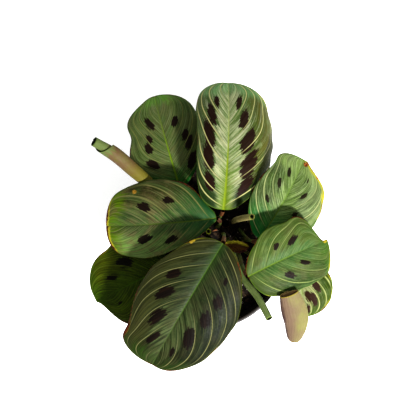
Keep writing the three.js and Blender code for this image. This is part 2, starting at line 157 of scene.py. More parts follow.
# Each leaf has the form of its node: base, heading, bend, length, rise, fall, bank, fold, droop,
# point and half widths. spots are the dark blotches: signed share across, start along the midrib
# of the vein they lie on, and their half sizes across and along. sear lists where the margin has
# yellowed: signed side, from and to as shares of the length, and the widths gone yellow and brown.
LEAVES = [
    dict(
        name="top_centre", base=(12.5, 26.5, 137), heading=84, bend=7.5, length=94.5,
        rise=14, fall=-40, bank=-7, fold=(12, 12), droop=(54, 78), point=0.65,
        left=(14.5, 20.5, 22.3, 22.7, 24, 18), right=(12, 26.5, 37.5, 41.3, 33.5, 24.5),
        left_veins=[-0.16, -0.06, 0.02, 0.095, 0.19, 0.32, 0.45, 0.615, 0.8, 1.02],
        right_veins=[-0.2, -0.1, 0.02, 0.168, 0.336, 0.484, 0.62, 0.79, 1.02],
        spots=[
            (-0.36, 0.675, 0.08, 0.037), (-0.5, 0.53, 0.12, 0.066), (-0.6, 0.37, 0.16, 0.076),
            (-0.6, 0.23, 0.165, 0.074), (-0.54, 0.12, 0.16, 0.062),
            (0.22, 0.68, 0.08, 0.045), (0.28, 0.53, 0.105, 0.06), (0.33, 0.37, 0.125, 0.08),
            (0.4, 0.215, 0.14, 0.084), (0.47, 0.075, 0.15, 0.06),
        ],
        sear=[(1, 0.84, 0.95, 2.2, 0), (-1, 0.9, 1.0, 0.6, 0.3)],
    ),
    dict(
        name="top_left", base=(-18, 42, 110), heading=107.5, bend=-3.5, length=70.5,
        rise=12, fall=-30, bank=0, fold=(12, 12), droop=(40, 40), point=1.0,
        left=(11.5, 22.5, 30, 24.5, 23.5, 10.5), right=(9, 18.5, 24.5, 28, 25.5, 16.5),
        left_veins=[-0.12, -0.02, 0.1, 0.22, 0.33, 0.44, 0.62, 0.8, 1.02],
        right_veins=[-0.12, 0, 0.155, 0.255, 0.41, 0.59, 0.8, 1.02],
        spots=[
            (-0.34, 0.525, 0.12, 0.05), (-0.46, 0.355, 0.09, 0.034), (-0.49, 0.28, 0.11, 0.044),
            (-0.47, 0.165, 0.13, 0.042), (0.35, 0.5, 0.1, 0.045), (0.53, 0.3, 0.1, 0.045),
            (0.6, 0.22, 0.12, 0.05), (0.68, 0.075, 0.16, 0.055),
        ],
        sear=[(-1, 0.98, 1.3, 0.6, 0.3)],
    ),
    dict(
        name="left", base=(7.6, 20.8, 131), heading=187.5, bend=-6.5, length=78.6,
        rise=6, fall=-24, bank=0, fold=(12, 12), droop=(40, 40), point=0.5,
        left=(5, 12, 19, 24, 22.5, 16), right=(8.5, 24, 31, 32, 27, 19),
        left_veins=[-0.1, 0.05, 0.19, 0.38, 0.6, 0.8, 1.02],
        right_veins=[-0.1, 0.05, 0.19, 0.36, 0.56, 0.8, 1.02],
        spots=[
            (0.4, 0.45, 0.11, 0.045), (0.5, 0.24, 0.07, 0.04),
            (-0.41, 0.49, 0.12, 0.055), (-0.56, 0.255, 0.13, 0.05),
        ],
        sear=[(-1, 0.93, 1.3, 5, 1.6), (1, 0.96, 1.3, 3.4, 0.6)],
    ),
    dict(
        name="bottom", base=(12, 4, 150.6), heading=238, bend=4, length=99.5,
        rise=8, fall=-26, bank=0, fold=(12, 12), droop=(42, 42), point=-0.4,
        left=(15, 27, 36.5, 35.5, 28.5, 15.5), right=(15.5, 25, 34, 34.5, 29, 24.5),
        left_veins=[-0.16, -0.07, 0, 0.08, 0.17, 0.29, 0.44, 0.62, 0.8, 1.02],
        right_veins=[-0.12, -0.03, 0.075, 0.165, 0.275, 0.415, 0.6, 0.8, 1.02],
        spots=[
            (0.54, 0.2, 0.1, 0.03), (0.48, 0.32, 0.14, 0.042), (0.4, 0.48, 0.14, 0.05),
            (0.3, 0.65, 0.11, 0.04), (-0.49, 0.115, 0.05, 0.02), (-0.49, 0.22, 0.1, 0.04),
            (-0.45, 0.345, 0.11, 0.045), (-0.39, 0.5, 0.13, 0.055), (-0.3, 0.67, 0.07, 0.03),
        ],
        sear=[
            (1, 0.8, 0.9, 1.6, 0.9), (1, 0.6, 0.9, 0.7, 0.1), (1, 0.02, 0.2, 1, 0),
            (-1, 0.55, 0.8, 0.6, 0.1),
        ],
    ),
    dict(
        name="lower_left", base=(-24.5, -11.5, 112), heading=208, bend=-3, length=61.5,
        rise=4, fall=-18, bank=0, fold=(8, 8), droop=(26, 26), point=-0.5,
        left=(14, 26.5, 33, 29.5, 22, 4), right=(14, 26.5, 33.5, 30, 26, 15.5),
        spots=[
            (0.49, 0.25, 0.14, 0.06), (0.36, 0.46, 0.09, 0.05), (-0.36, 0.5, 0.04, 0.02),
        ],
        sear=[(1, 0.5, 0.75, 1.2, 0), (-1, 0.85, 1.0, 1, 0.6)],
    ),
    dict(
        name="right_low", base=(28.8, -18.6, 146), heading=28, bend=-7, length=60,
        rise=8, fall=-22, bank=-7, fold=(10, 10), droop=(26, 42), point=0.8,
        left=(9, 16.5, 23.5, 23, 21, 1.5), right=(15, 22.5, 26, 26.5, 25.5, 20),
        left_veins=[-0.12, 0.04, 0.22, 0.34, 0.52, 0.7, 0.86, 1.02],
        right_veins=[-0.12, 0.05, 0.19, 0.39, 0.58, 0.78, 1.02],
        spots=[
            (-0.44, 0.28, 0.09, 0.026), (-0.42, 0.43, 0.11, 0.045), (0.31, 0.5, 0.09, 0.04),
            (0.44, 0.28, 0.11, 0.04),
        ],
        sear=[(1, 0.04, 0.3, 1.8, 0.2), (1, 0.92, 1.0, 1.6, 0), (-1, 0.95, 1.0, 1.6, 0.4)],
    ),
    dict(
        name="upper_right", base=(37.6, 6.5, 127.5), heading=55, bend=12, length=64.5,
        rise=24, fall=-16, bank=-9, fold=(12, 12), droop=(28, 28), point=-0.8,
        left=(9.5, 17.5, 22.5, 22.5, 18.5, 15.5), right=(11, 20.5, 27.5, 26.8, 20.5, 6),
        left_veins=[-0.1, 0.03, 0.135, 0.245, 0.37, 0.55, 0.72, 0.87, 1.02],
        right_veins=[-0.1, 0.03, 0.2, 0.36, 0.5, 0.62, 0.8, 1.02],
        spots=[
            (-0.34, 0.625, 0.09, 0.034), (-0.44, 0.46, 0.09, 0.034), (-0.5, 0.28, 0.09, 0.024),
            (0.41, 0.44, 0.07, 0.024), (0.39, 0.29, 0.06, 0.028), (0.43, 0.55, 0.04, 0.016),
        ],
        sear=[
            (1, 0.66, 0.98, 3.3, 0.1), (1, 0.45, 0.66, 1.6, 0.1), (1, 0.9, 0.97, 3.3, 1.3),
            (1, 0.76, 0.83, 3.3, 1.0),
        ],
    ),
    dict(
        name="far_right", base=(67.5, -6.5, 106), heading=273, bend=2.5, length=44.5,
        rise=6, fall=-18, bank=0, fold=(10, -12), droop=(26, 45), point=0.3,
        left=(8.5, 16.5, 22, 22.5, 19, 11.5), right=(3.5, 6.5, 10, 14.5, 12.5, 5.5),
        left_veins=[-0.1, 0.08, 0.23, 0.39, 0.6, 0.8, 1.02],
        right_veins=[-0.1, 0.08, 0.23, 0.39, 0.6, 0.8, 1.02],
        spots=[
            (-0.45, 0.3, 0.14, 0.055), (-0.2, 0.55, 0.12, 0.07), (-0.41, 0.47, 0.13, 0.06),
            (-0.26, 0.68, 0.09, 0.05), (0.4, 0.45, 0.14, 0.06), (0.5, 0.25, 0.12, 0.05),
        ],
        sear=[(-1, 0.3, 0.9, 1.6, 0.2)],
    ),
    dict(
        name="old_small", base=(14, 2.5, 125), heading=-3, bend=-9, length=17,
        rise=4, fall=-24, bank=4, fold=(6, 8), droop=(70, 40), point=0.5,
        left=(2, 3, 4, 4, 3, 2), right=(3, 4.5, 5.5, 5.5, 4.5, 2.5),
        spots=[], sear=[(-1, -0.2, 1.3, 3.2, 0), (1, 0.5, 1.0, 0.6, 0.8)],
    ),
]

# Small dead specks: place in millimetres, radius, and hue from yellow (0) to brown (1)
SPECKS = dict(
    left=[(-49.1, 38.8, 1.7, 0.7)],
    bottom=[(-9.3, 5, 1.3, 0.5), (-7.4, 6, 0.9, 0.4)],
    top_left=[(-36.4, 110, 1.6, 1)],
    upper_right=[(69.3, 57.6, 1.8, 1), (77.2, 48.4, 1.3, 1)],
    right_low=[(81.6, 5, 1.3, 0.2)],
)

# Looks of the leaves, in the order of LEAVES. Colours as seen on a screen: field and streak of the
# blade, feather and shade of the paler feather along the midrib, then midrib, side veins, margin,
# blotches, mottling, flecks, and the lobes beside the foot, below the vein lobe_from. On top_centre,
# top_left, left and upper_right the lobe colour is painted shade, dark green where the crown shades
# the foot. One side (tint_side) turns to tint, the end beyond tip_from to tip, and the foot to base
# as far along as base_reach and as far out as base_width. On top_left, left and upper_right base is
# a painted shadow in deep green, where leaves above shade the foot. paler is painted light on the
# other side, which lifts the shadow that falls there.
# reach is the half width of the feather, feather_from where it is full, wedge the share of its
# dark wedges, and contrast that of the hairlines. tint_smooth takes flecks off the tinted side.
# rib is the half width of the midrib at its foot, rib_end what is left of it at the tip. Side
# veins are vein_width wide, weaker beyond vein_end and within vein_fade of the margin. skew is the
# slant of the blotches.
LOOKS = dict(
    field=[(89, 109, 64), (90, 108, 56), (103, 127, 69), (26, 37, 15), (55, 67, 5), (86, 106, 46),
           (68, 86, 42), (59, 83, 5), (104, 68, 32)],
    streak=[(112, 124, 70), (125, 138, 82), (137, 150, 95), (51, 59, 34), (99, 118, 18), (104, 124, 62),
            (112, 132, 80), (83, 104, 14), (140, 98, 42)],
    feather=[(203, 205, 162), (126, 133, 83), (92, 101, 65), (104, 116, 74), (77, 95, 19),
             (108, 135, 76), (137, 158, 93), (196, 200, 150), (92, 62, 28)],
    shade=[(118, 142, 78), (95, 115, 61), (91, 119, 64), (50, 66, 34), (50, 69, 5), (74, 110, 56),
           (100, 126, 58), (158, 166, 110), (60, 38, 20)],
    midrib=[(150, 168, 34), (130, 160, 30), (104, 124, 44), (84, 112, 44), (80, 114, 16), (118, 142, 46),
            (120, 150, 60), (134, 166, 58), (126, 92, 36)],
    vein=[(214, 208, 146), (138, 142, 86), (146, 142, 92), (142, 140, 94), (104, 116, 34),
          (166, 176, 112), (184, 190, 134), (190, 196, 130), (118, 92, 40)],
    margin=[(92, 130, 40), (69, 92, 35), (84, 112, 20), (92, 104, 28), (92, 124, 10), (104, 138, 40),
            (96, 134, 50), (116, 148, 20), (206, 188, 50)],
    spot=[(44, 18, 14), (34, 16, 14), (30, 16, 12), (24, 13, 9), (14, 10, 4), (30, 16, 12), (40, 34, 16),
          (58, 28, 14), (40, 26, 18)],
    mottle=[(96, 128, 66), (125, 122, 84), (126, 108, 76), (76, 70, 46), (80, 108, 10), (114, 107, 69),
            (104, 112, 76), (95, 105, 29), (60, 38, 20)],
    fleck=[(216, 220, 188), (140, 158, 112), (150, 146, 104), (92, 97, 62), (110, 130, 30),
           (150, 164, 108), (204, 222, 164), (150, 160, 96), (150, 104, 44)],
    # lobe: painted shade, dark green, on top_centre, top_left, left and upper_right
    lobe_and_shade=[(24, 52, 8), (34, 84, 40), (44, 66, 36), (62, 62, 28), (44, 60, 8), (66, 84, 28), (50, 86, 40),
          (80, 110, 30), (90, 60, 28)],
    tint=[(102, 98, 14), (97, 123, 54), (57, 51, 14), (92, 94, 50), (101, 101, 13), (43, 70, 25),
          (158, 174, 117), (84, 116, 20), (235, 222, 66)],
    tip=[(134, 180, 116), (115, 168, 61), (112, 142, 0), (60, 88, 28), (64, 104, 4), (84, 128, 46),
         (150, 172, 100), (84, 120, 40), (90, 60, 28)],
    # base: painted shadow in deep green on top_left, left and upper_right
    base=[(112, 138, 0), (14, 134, 30), (20, 100, 52), (62, 94, 38), (50, 80, 12), (90, 102, 52),
          (34, 140, 64), (190, 196, 140), (120, 84, 40)],
    # paler: painted light on the leaf named left, lifting the shadow on its far side
    paler=[None, None, (146, 178, 102), None, None, None, None, None, None],
    mottle_share=[0.3, 0.4, 0.6, 0.4, 0.5, 0.35, 0.4, 0.3, 0.4],
    fleck_share=[0.4, 0.45, 0.4, 0.35, 0.3, 0.4, 0.32, 0.3, 0.5],
    tint_share=[0.95, 0.5, 0.9, 0.8, 0.6, 0.85, 0.6, 0.3, 0.95],
    tint_side=[1, 1, 1, 1, 1, 1, 1, -1, -1],
    tint_smooth=[0.85, 0, 0, 0, 0, 0, 0, 0, 0],
    tip_share=[0.75, 0.7, 0.85, 0.6, 0.4, 0.5, 0.6, 0.5, 0.3],
    tip_from=[0.84, 0.84, 0.78, 0.84, 0.84, 0.84, 0.78, 0.84, 0.84],
    base_share=[0.9, 0.75, 0.7, 0.55, 0.3, 0.5, 0.9, 0.4, 0.4],
    base_reach=[0.5, 0.26, 0.5, 0.7, 0.3, 0.3, 0.5, 0.2, 0.3],
    base_width=[8, 60, 60, 6, 60, 60, 60, 10, 4],
    lobe_from=[0.17, 0.07, 0.07, 0.07, 0.07, 0.07, 0.07, 0.07, 0.07],
    reach=[0.46, 0.46, 0.46, 0.42, 0.34, 0.34, 0.4, 0.5, 0.2],
    feather_from=[-1, -1, -1, 0.6, -1, -1, -1, -1, -1],
    wedge=[0.5, 0.3, 0.2, 0.2, 0.2, 0.3, 0.3, 0.2, 0.2],
    contrast=[0.8, 1, 1, 1, 1, 0.6, 0.8, 1, 1],
    rib=[0.95, 0.7, 0.4, 0.4, 0.6, 0.42, 0.45, 0.7, 0.6],
    rib_end=[0.5, 0.5, 0.5, 0.5, 0.5, 0.1, 0.5, 0.5, 0.5],
    skew=[0.25, 0.5, 0.5, 0.5, 0.5, 0.5, 0.5, 0.3, 0.5],
    vein_end=[0.9, 0.45, 0.5, 0.9, 0.4, 0.3, 0.3, 0.7, 0.5],
    vein_width=[0.34, 0.28, 0.3, 0.25, 0.3, 0.2, 0.28, 0.4, 0.24],
    vein_fade=[2.4, 4.0, 4.0, 5.0, 4.0, 4.5, 3.0, 3.0, 1.0],
)

# Colours of the blade that all leaves share
GROOVE_DARK = (8, 16, 4)
BLOTCH_GRAIN = (92, 60, 38)
YELLOWED = (206, 196, 62)
BURNS = ((122, 62, 30), (72, 34, 22))
SPECK_YELLOW = (214, 200, 70)
SPECK_BROWNS = ((206, 140, 74), (128, 64, 32))
UNDERSIDES = ((126, 132, 104), (150, 150, 122))
UNDERSIDE_FLUSH = (122, 84, 92)
UNDERSIDE_VEIN = (170, 172, 128)
UNDERSIDE_RIB = (176, 178, 110)

# Rolled leaves: path of the axis, stations of share along, outer radius, turns and how round
# the section is, and the angle in degrees that the winding starts at
SCROLLS = [
    dict(
        name="roll_top_left",
        path=[(-76, 72.8, 139), (-62.7, 64.7, 131.5), (-49.5, 53.3, 122.5), (-32.5, 38.5, 112.6)],
        stations=[(0, 3.9, 1.15, 1), (0.07, 4.2, 1.35, 1), (0.18, 5.1, 1.8, 1), (0.28, 5.8, 2.3, 1),
                  (0.55, 5.6, 2.2, 1), (0.75, 5.1, 2.1, 1), (0.88, 4.2, 1.8, 1), (1, 3.2, 1.1, 1)],
        start=200,
    ),
    dict(
        name="roll_half_open",
        path=[(62, -63.9, 126.5), (62.5, -49, 135.5), (59.6, -38.1, 141.2), (56.7, -29.8, 146.3)],
        stations=[(0, 4.2, 1.04, 0.8), (0.05, 5.6, 1.05, 0.65), (0.2, 7.5, 1.08, 0.55),
                  (0.44, 9.2, 1.1, 0.5), (0.58, 9.6, 1.1, 0.48), (0.75, 9.2, 1.12, 0.48),
                  (0.87, 8.4, 1.14, 0.48), (1, 7.2, 1.15, 0.5)],
        start=215,
    ),
]
SCROLL_PITCH = 1.25
SCROLL_ROWS = 150
SCROLL_COLUMNS = 150
SCROLL_WALL = 0.24
SCROLL_INSET = 0.32
SCROLL_RIBS = 23
SCROLL_RIB_HEIGHT = 0.05
STREAK_UNIT = 20
FAR_FROM_EDGE = 40

# Young spikes and old wrappings: the turns they are wound in, radii along the axis, and the axis
SPIKES = [
    dict(
        name="roll_spike", radii=[1.4, 1.5, 1.8, 2.3, 2.7, 2.7, 2.5], turns=1.35,
        path=[(19, 0.5, 79), (19, 0.5, 93), (20.5, -5, 103), (26, -20.5, 112), (37, -35, 123),
              (44.4, -48.8, 133)],
    ),
    dict(
        name="roll_middle", radii=[1.4, 1.5, 1.8, 2, 2.1], turns=2.3,
        path=[(2.3, 11.4, 79), (2.3, 11.4, 128)],
    ),
    dict(
        name="roll_pale", radii=[1.4, 1.5, 2.2, 2.4, 2.4, 2.3], turns=2.6,
        path=[(19.5, 17, 79), (19.5, 17.2, 92), (21.3, 19.3, 118), (25, 20.8, 137), (31.5, 22, 153)],
    ),
    dict(
        name="sheath_middle", slot="dry_sheath", radii=[2.9, 3, 3.1], turns=1.35,
        path=[(14.2, 16.2, 79), (14.2, 16.2, 92), (14.6, 16.6, 108)],
    ),
    dict(
        name="bract_dry_left", slot="dry_sheath", radii=[0.5, 0.9, 0.6], turns=1.35,
        path=[(-4.2, 8.8, 119), (-2, 10.4, 121), (-0.2, 11.2, 121)],
    ),
    dict(
        name="bract_dry_right", slot="dry_sheath", radii=[0.5, 0.7, 0.5], turns=1.35,
        path=[(4.9, 11.6, 121), (7, 12.3, 120), (8.6, 12.2, 118)],
    ),
]
SPIKE_PITCH = 0.38
SPIKE_ROWS = 90
SPIKE_COLUMNS = 56
SPIKE_WALL = 0.15
SPIKE_LEAST_RADIUS = 0.12
SPIKE_RIBS = 9
SPIKE_RIB_HEIGHT = 0.03
SPIKE_TWIST = 0.6

# Looks of the rolled pieces, in the order of SCROLLS and then SPIKES: the side that faces out and
# its veins, the free edge, the inside, and a flush with its share. The inside is painted shade, dark,
# in most pieces; in roll_half_open it is pale, painted light where the shade inside falls, and in
# roll_middle it is as pale as the outside. A shaded side of 1 or -1 also paints shade on the side to
# the right or the left, in the flush colour and darker at its edge. ends are colours with the shares
# along where they begin and where they are full.
ROLL_LOOKS = dict(
    outer=[(126, 116, 66), (150, 145, 92), (146, 168, 98), (214, 232, 84), (158, 150, 98), (96, 44, 30),
           (160, 104, 74), (160, 104, 74)],
    vein=[(134, 120, 84), (155, 148, 97), (168, 184, 124), (232, 235, 110), (192, 184, 128), (128, 68, 44),
          (186, 134, 96), (186, 134, 96)],
    edge=[(92, 112, 46), (166, 150, 50), (150, 168, 90), (228, 235, 90), (160, 164, 84), (110, 66, 40),
          (140, 100, 66), (140, 100, 66)],
    # inside: painted shade in most pieces, painted light in roll_half_open
    inside_light_and_shade=[(30, 40, 18), (226, 190, 140), (18, 24, 10), (214, 226, 90), (50, 44, 24), (26, 14, 10),
            (50, 30, 18), (50, 30, 18)],
    flush=[(128, 96, 74), (140, 118, 98), (84, 104, 50), (214, 200, 84), (130, 112, 66), (48, 24, 18),
           (78, 44, 28), (78, 44, 28)],
    flush_share=[0.85, 0.5, 0.2, 0.3, 0.5, 0.7, 0.6, 0.6],
    # shaded side: painted shade on one side of roll_half_open and roll_spike
    shaded_side=[0, -1, -1, 0, 0, 0, 0, 0],
    ends=[[((120, 140, 84), 0.75, 0.45), ((134, 128, 44), 1.2, 2.1)], [], [], [], [], [], [], []],
)
# Darkest painted shade, at the very edge of the shaded side of a rolled piece
SIDE_SHADE_DARK = (70, 38, 48)

# Stalks: where each stands in the soil, two points it leans over, and where it meets its leaf
STALKS = {
    "stalk_top_centre": ((10, 20.5), (10, 20.5, 116), (10.5, 21.5, 130), (12.5, 26.5, 137)),
    "stalk_top_left": ((5, 20), (4, 21, 108), (-10, 35, 102.5), (-18, 42, 110)),
    "stalk_left": ((8.5, 14), (9.5, 14.5, 111), (12.5, 18, 125), (7.6, 20.8, 131)),
    "stalk_bottom": ((12.5, 9), (13, 10, 118), (13.5, 11, 143), (12, 4, 151)),
    "stalk_lower_left": ((3.5, 5), (2, 3, 106), (-13, -6, 107), (-24.5, -11.5, 112)),
    "stalk_right_low": ((22, 5), (22, 4, 108), (25.3, -15.1, 132), (28.8, -18.6, 146)),
    "stalk_upper_right": ((25, 12), (26, 11, 107), (32, 0, 120), (37.6, 6.5, 127.5)),
    "stalk_far_right": ((27, 5), (30, 4, 112), (65.5, 3, 98.5), (67.5, -6.5, 106)),
    "stalk_old_small": ((16.5, 5), (15, 5, 110), (9.5, 4.5, 118.5), (14, 2.5, 125)),
    "stalk_roll_top_left": ((0.5, 17), (0, 19, 108), (-16, 28, 108), (-33.1, 39, 112.7)),
    "stalk_half_open": ((24.5, -1), (40, -8, 132), (64, -42, 104.5), (62.2, -66, 123)),
}
STALK_DEPTH = 9
STALK_MOUTH = SOIL_TOP + 1.0
STALK_RADIUS = 1.15
STALK_FOOT = 1.4
JOINT_RADIUS = 1.5
JOINT_LENGTH = 8
STALK_GAP = 0.95
STALK_CAPS = (0.1, 0.4)
STALK_SIDES = 20
STALK_STEPS = 90
CURVE_STEPS = 40
STALK_FLUTES = 5
FLUTE_DEPTH = 0.07
CHANNEL_DEPTH = 0.12
CHANNEL_WIDTH = 0.35

# Colours of the stalks, their flush and their foot, and of the swollen joints under the leaves
STALK_GREENS = ((84, 104, 44), (132, 146, 74))
STALK_FLUSH = (120, 92, 58)
STALK_FOOT_COLOUR = (104, 64, 48)
JOINT_STREAK = (160, 116, 70)
PLAIN_JOINT = (118, 84, 48)
JOINTS = {
    "stalk_top_centre": (96, 50, 22), "stalk_left": (70, 34, 24), "stalk_right_low": (128, 76, 60),
    "stalk_upper_right": (104, 70, 40),
}


# Mesh helpers

def to_linear(colour):
    """A colour as seen on a screen, 0 to 255, as linear light."""
    share = np.array(colour) / 255
    light = np.where(share < 0.04045, share / 12.92, ((share + 0.055) / 1.055) ** 2.4)
    return (*(light / LIGHT_LEVEL), 1.0)


def smooth_step(x, low, high):
    share = np.clip((x - low) / (high - low), 0, 1)
    return share * share * (3 - 2 * share)


def unit(vectors):
    return vectors / np.maximum(np.linalg.norm(vectors, axis=-1, keepdims=True), 1e-9)


def column(table, number):
    """The values of one piece, out of rows with a value for each piece."""
    return {key: row[number] for key, row in table.items()}


def new_piece(name, points, faces, material, attributes=None, smooth=True):
    """A mesh object from points in millimetres; attributes hold one value or vector per corner."""
    mesh = bpy.data.meshes.new(name)
    faces = np.asarray(faces)
    sides = faces.shape[1]
    mesh.vertices.add(len(points))
    mesh.vertices.foreach_set("co", (np.asarray(points, float) * MM).ravel())
    mesh.loops.add(faces.size)
    mesh.loops.foreach_set("vertex_index", faces.ravel().astype(np.int32))
    mesh.polygons.add(len(faces))
    mesh.polygons.foreach_set("loop_start", np.arange(0, faces.size, sides, dtype=np.int32))
    mesh.update(calc_edges=True)
    mesh.polygons.foreach_set("use_smooth", np.full(len(faces), smooth))
    for key, values in (attributes or {}).items():
        values = np.asarray(values, np.float32)
        kind, field = ("FLOAT_VECTOR", "vector") if values.ndim == 3 else ("FLOAT", "value")
        mesh.attributes.new(key, kind, "CORNER").data.foreach_set(field, values.ravel())
    mesh.materials.append(material)
    piece = bpy.data.objects.new(name, mesh)
    bpy.context.collection.objects.link(piece)
    return piece


def finish_piece(piece, node):
    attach(piece, "root")
    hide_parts(node)


def grid_faces(rows, columns):
    """Corners of the quads of a grid, facing along column direction x row direction."""
    at = np.arange(rows * columns).reshape(rows, columns)
    return np.stack([at[:-1, :-1], at[:-1, 1:], at[1:, 1:], at[1:, :-1]], -1).reshape(-1, 4)


def ring_faces(at):
    """Quads between the rows of a grid of corner numbers whose rows are closed rings."""
    after = np.roll(at, -1, axis=1)
    return np.stack([at[:-1], after[:-1], after[1:], at[1:]], -1).reshape(-1, 4)


def rim_faces(rows, columns):
    """Quads that join the border of the upper grid to that of the lower grid."""
    at = np.arange(rows * columns).reshape(rows, columns)
    border = np.concatenate([at[0, :-1], at[:-1, -1], at[-1, :0:-1], at[:0:-1, 0]])
    after = np.roll(border, -1)
    under = rows * columns
    return np.stack([after, border, under + border, under + after], -1)


def closed_sheet(points, above, below):
    """Vertices and faces of a grid made into a closed sheet, above and below its middle."""
    normals = unit(np.cross(np.gradient(points, axis=1), np.gradient(points, axis=0)))
    top = points + normals * above[..., None]
    bottom = points - normals * below[..., None]
    rows, columns = points.shape[:2]
    faces = grid_faces(rows, columns)
    vertices = np.concatenate([top.reshape(-1, 3), bottom.reshape(-1, 3)])
    turned = faces[:, ::-1] + rows * columns
    return vertices, np.concatenate([faces, turned, rim_faces(rows, columns)])


def turned_grid(radius, height, segments):
    """Corners of rings round the upright axis; the first and last ring are each one point."""
    angle = np.linspace(0, 2 * math.pi, segments, endpoint=False)[None, :]
    points = np.stack(np.broadcast_arrays(radius * np.cos(angle), radius * np.sin(angle), height), -1)
    at = np.arange(len(radius) * segments).reshape(-1, segments)
    at[0, :], at[-1, :] = at[0, 0], at[-1, 0]
    return points, at


# Curves

def dense_curve(path):
    """The centripetal curve through the points of a path, in small steps."""
    path = [np.array(p, float) for p in path]
    ends = [2 * path[0] - path[1], *path, 2 * path[-1] - path[-2]]
    t = np.linspace(0, 1, CURVE_STEPS, endpoint=False)[:, None]
    points = []
    for before, start, end, after in zip(ends, ends[1:], ends[2:], ends[3:]):
        pairs = ((before, start), (start, end), (end, after))
        first, gap, last = [max(np.linalg.norm(b - a), 1e-4) ** 0.5 for a, b in pairs]
        leave = (start - before) / first - (end - before) / (first + gap) + (end - start) / gap
        arrive = (end - start) / gap - (after - start) / (gap + last) + (after - end) / last
        leave, arrive = leave * gap, arrive * gap
        points.append(
            start + leave * t + (3 * (end - start) - 2 * leave - arrive) * t ** 2
            + (2 * (start - end) + leave + arrive) * t ** 3
        )
    return np.concatenate([*points, path[-1][None]])


def even_curve(points, count):
    """Points, directions and total length of a curve cut into equal steps."""
    reach = np.concatenate([[0], np.cumsum(np.linalg.norm(np.diff(points, axis=0), axis=1))])
    want = np.linspace(0, reach[-1], count + 1)
    even = np.stack([np.interp(want, reach, points[:, k]) for k in range(3)], -1)
    return even, unit(np.gradient(even, axis=0)), reach[-1]


def carried_axes(tangents):
    """Two side directions carried along a curve without twisting."""
    side = np.cross(tangents[0], (0.3, 0.9, 0.2))
    sides = []
    for tangent in tangents:
        side = side - tangent * np.dot(side, tangent)
        side = side / np.linalg.norm(side)
        sides.append(side)
    sides = np.array(sides)
    return sides, np.cross(tangents, sides)


def round_axis(centre, side, other, angle, width, height):
    """Points at angles and distances round the points of an axis."""
    points = centre[:, None] + side[:, None] * (width * np.cos(angle))[..., None]
    return points + other[:, None] * (height * np.sin(angle))[..., None]


# Materials

class Shader:
    """A node material: values are built one at a time, and colours are painted one on another."""

    def __init__(self, name):
        self.material = bpy.data.materials.new(name)
        self.material.use_nodes = True
        self.tree = self.material.node_tree
        self.surface = self.tree.nodes["Principled BSDF"]
        self.place = self.node("ShaderNodeTexCoord").outputs["Object"]
        self.colour = None

    def put(self, socket, value):
        if isinstance(value, bpy.types.NodeSocket):
            self.tree.links.new(value, socket)
        else:
            socket.default_value = value

    def node(self, kind, inputs=(), **settings):
        node = self.tree.nodes.new(kind)
        for key, value in settings.items():
            setattr(node, key, value)
        for key, value in dict(inputs).items():
            self.put(node.inputs[key], value)
        return node

    def read(self, name):
        return self.node("ShaderNodeAttribute", attribute_name=name)

    def parts(self, vector):
        return self.node("ShaderNodeSeparateXYZ", {0: vector}).outputs[:3]

    def split(self, name):
        return self.parts(self.read(name).outputs["Vector"])

    def math(self, operation, a, b=0.0):
        return self.node("ShaderNodeMath", {0: a, 1: b}, operation=operation).outputs[0]

    def sum(self, *values):
        return functools.reduce(functools.partial(self.math, "ADD"), values)

    def times(self, *values):
        return functools.reduce(functools.partial(self.math, "MULTIPLY"), values)

    def minus(self, a, b):
        return self.math("SUBTRACT", a, b)

    def line(self, value, low, high, start=0.0, end=1.0, kind="LINEAR"):
        """From start to end while the value goes from low to high."""
        inputs = {0: value, 1: low, 2: high, 3: start, 4: end}
        return self.node("ShaderNodeMapRange", inputs, interpolation_type=kind).outputs[0]

    def step(self, value, low, high, start=0.0, end=1.0):
        return self.line(value, low, high, start, end, "SMOOTHSTEP")

    def wobble(self, noise, size, spread=0.2):
        """Noise brought round zero: from -size to size within the spread round its middle."""
        return self.line(noise, 0.5 - spread, 0.5 + spread, -size, size)

    def join(self, x, y, z):
        return self.node("ShaderNodeCombineXYZ", {0: x, 1: y, 2: z}).outputs[0]

    def noise(self, scale, detail=2.0, roughness=0.5, vector=None):
        inputs = {"Vector": vector or self.place, "Scale": scale, "Detail": detail, "Roughness": roughness}
        return self.node("ShaderNodeTexNoise", inputs).outputs["Fac"]

    def mix(self, share, a, b):
        """Colour a with a share of colour b; colours of three numbers are as seen on a screen."""
        node = self.node("ShaderNodeMix", data_type="RGBA")
        for socket, value in ((node.inputs[0], share), (node.inputs[6], a), (node.inputs[7], b)):
            seen = isinstance(value, tuple) and len(value) == 3
            self.put(socket, to_linear(value) if seen else value)
        return node.outputs[2]

    def paint(self, share, colour):
        self.colour = self.mix(share, self.colour, colour)

    def finish(self, rough, height=None, depth=0.0002, gloss=0.3):
        self.surface.inputs["Specular IOR Level"].default_value = gloss
        self.put(self.surface.inputs["Base Color"], self.colour)
        self.put(self.surface.inputs["Roughness"], rough)
        if height is not None:
            inputs = {"Strength": 1.0, "Distance": depth, "Height": height}
            self.put(self.surface.inputs["Normal"], self.node("ShaderNodeBump", inputs).outputs[0])
        return self.material


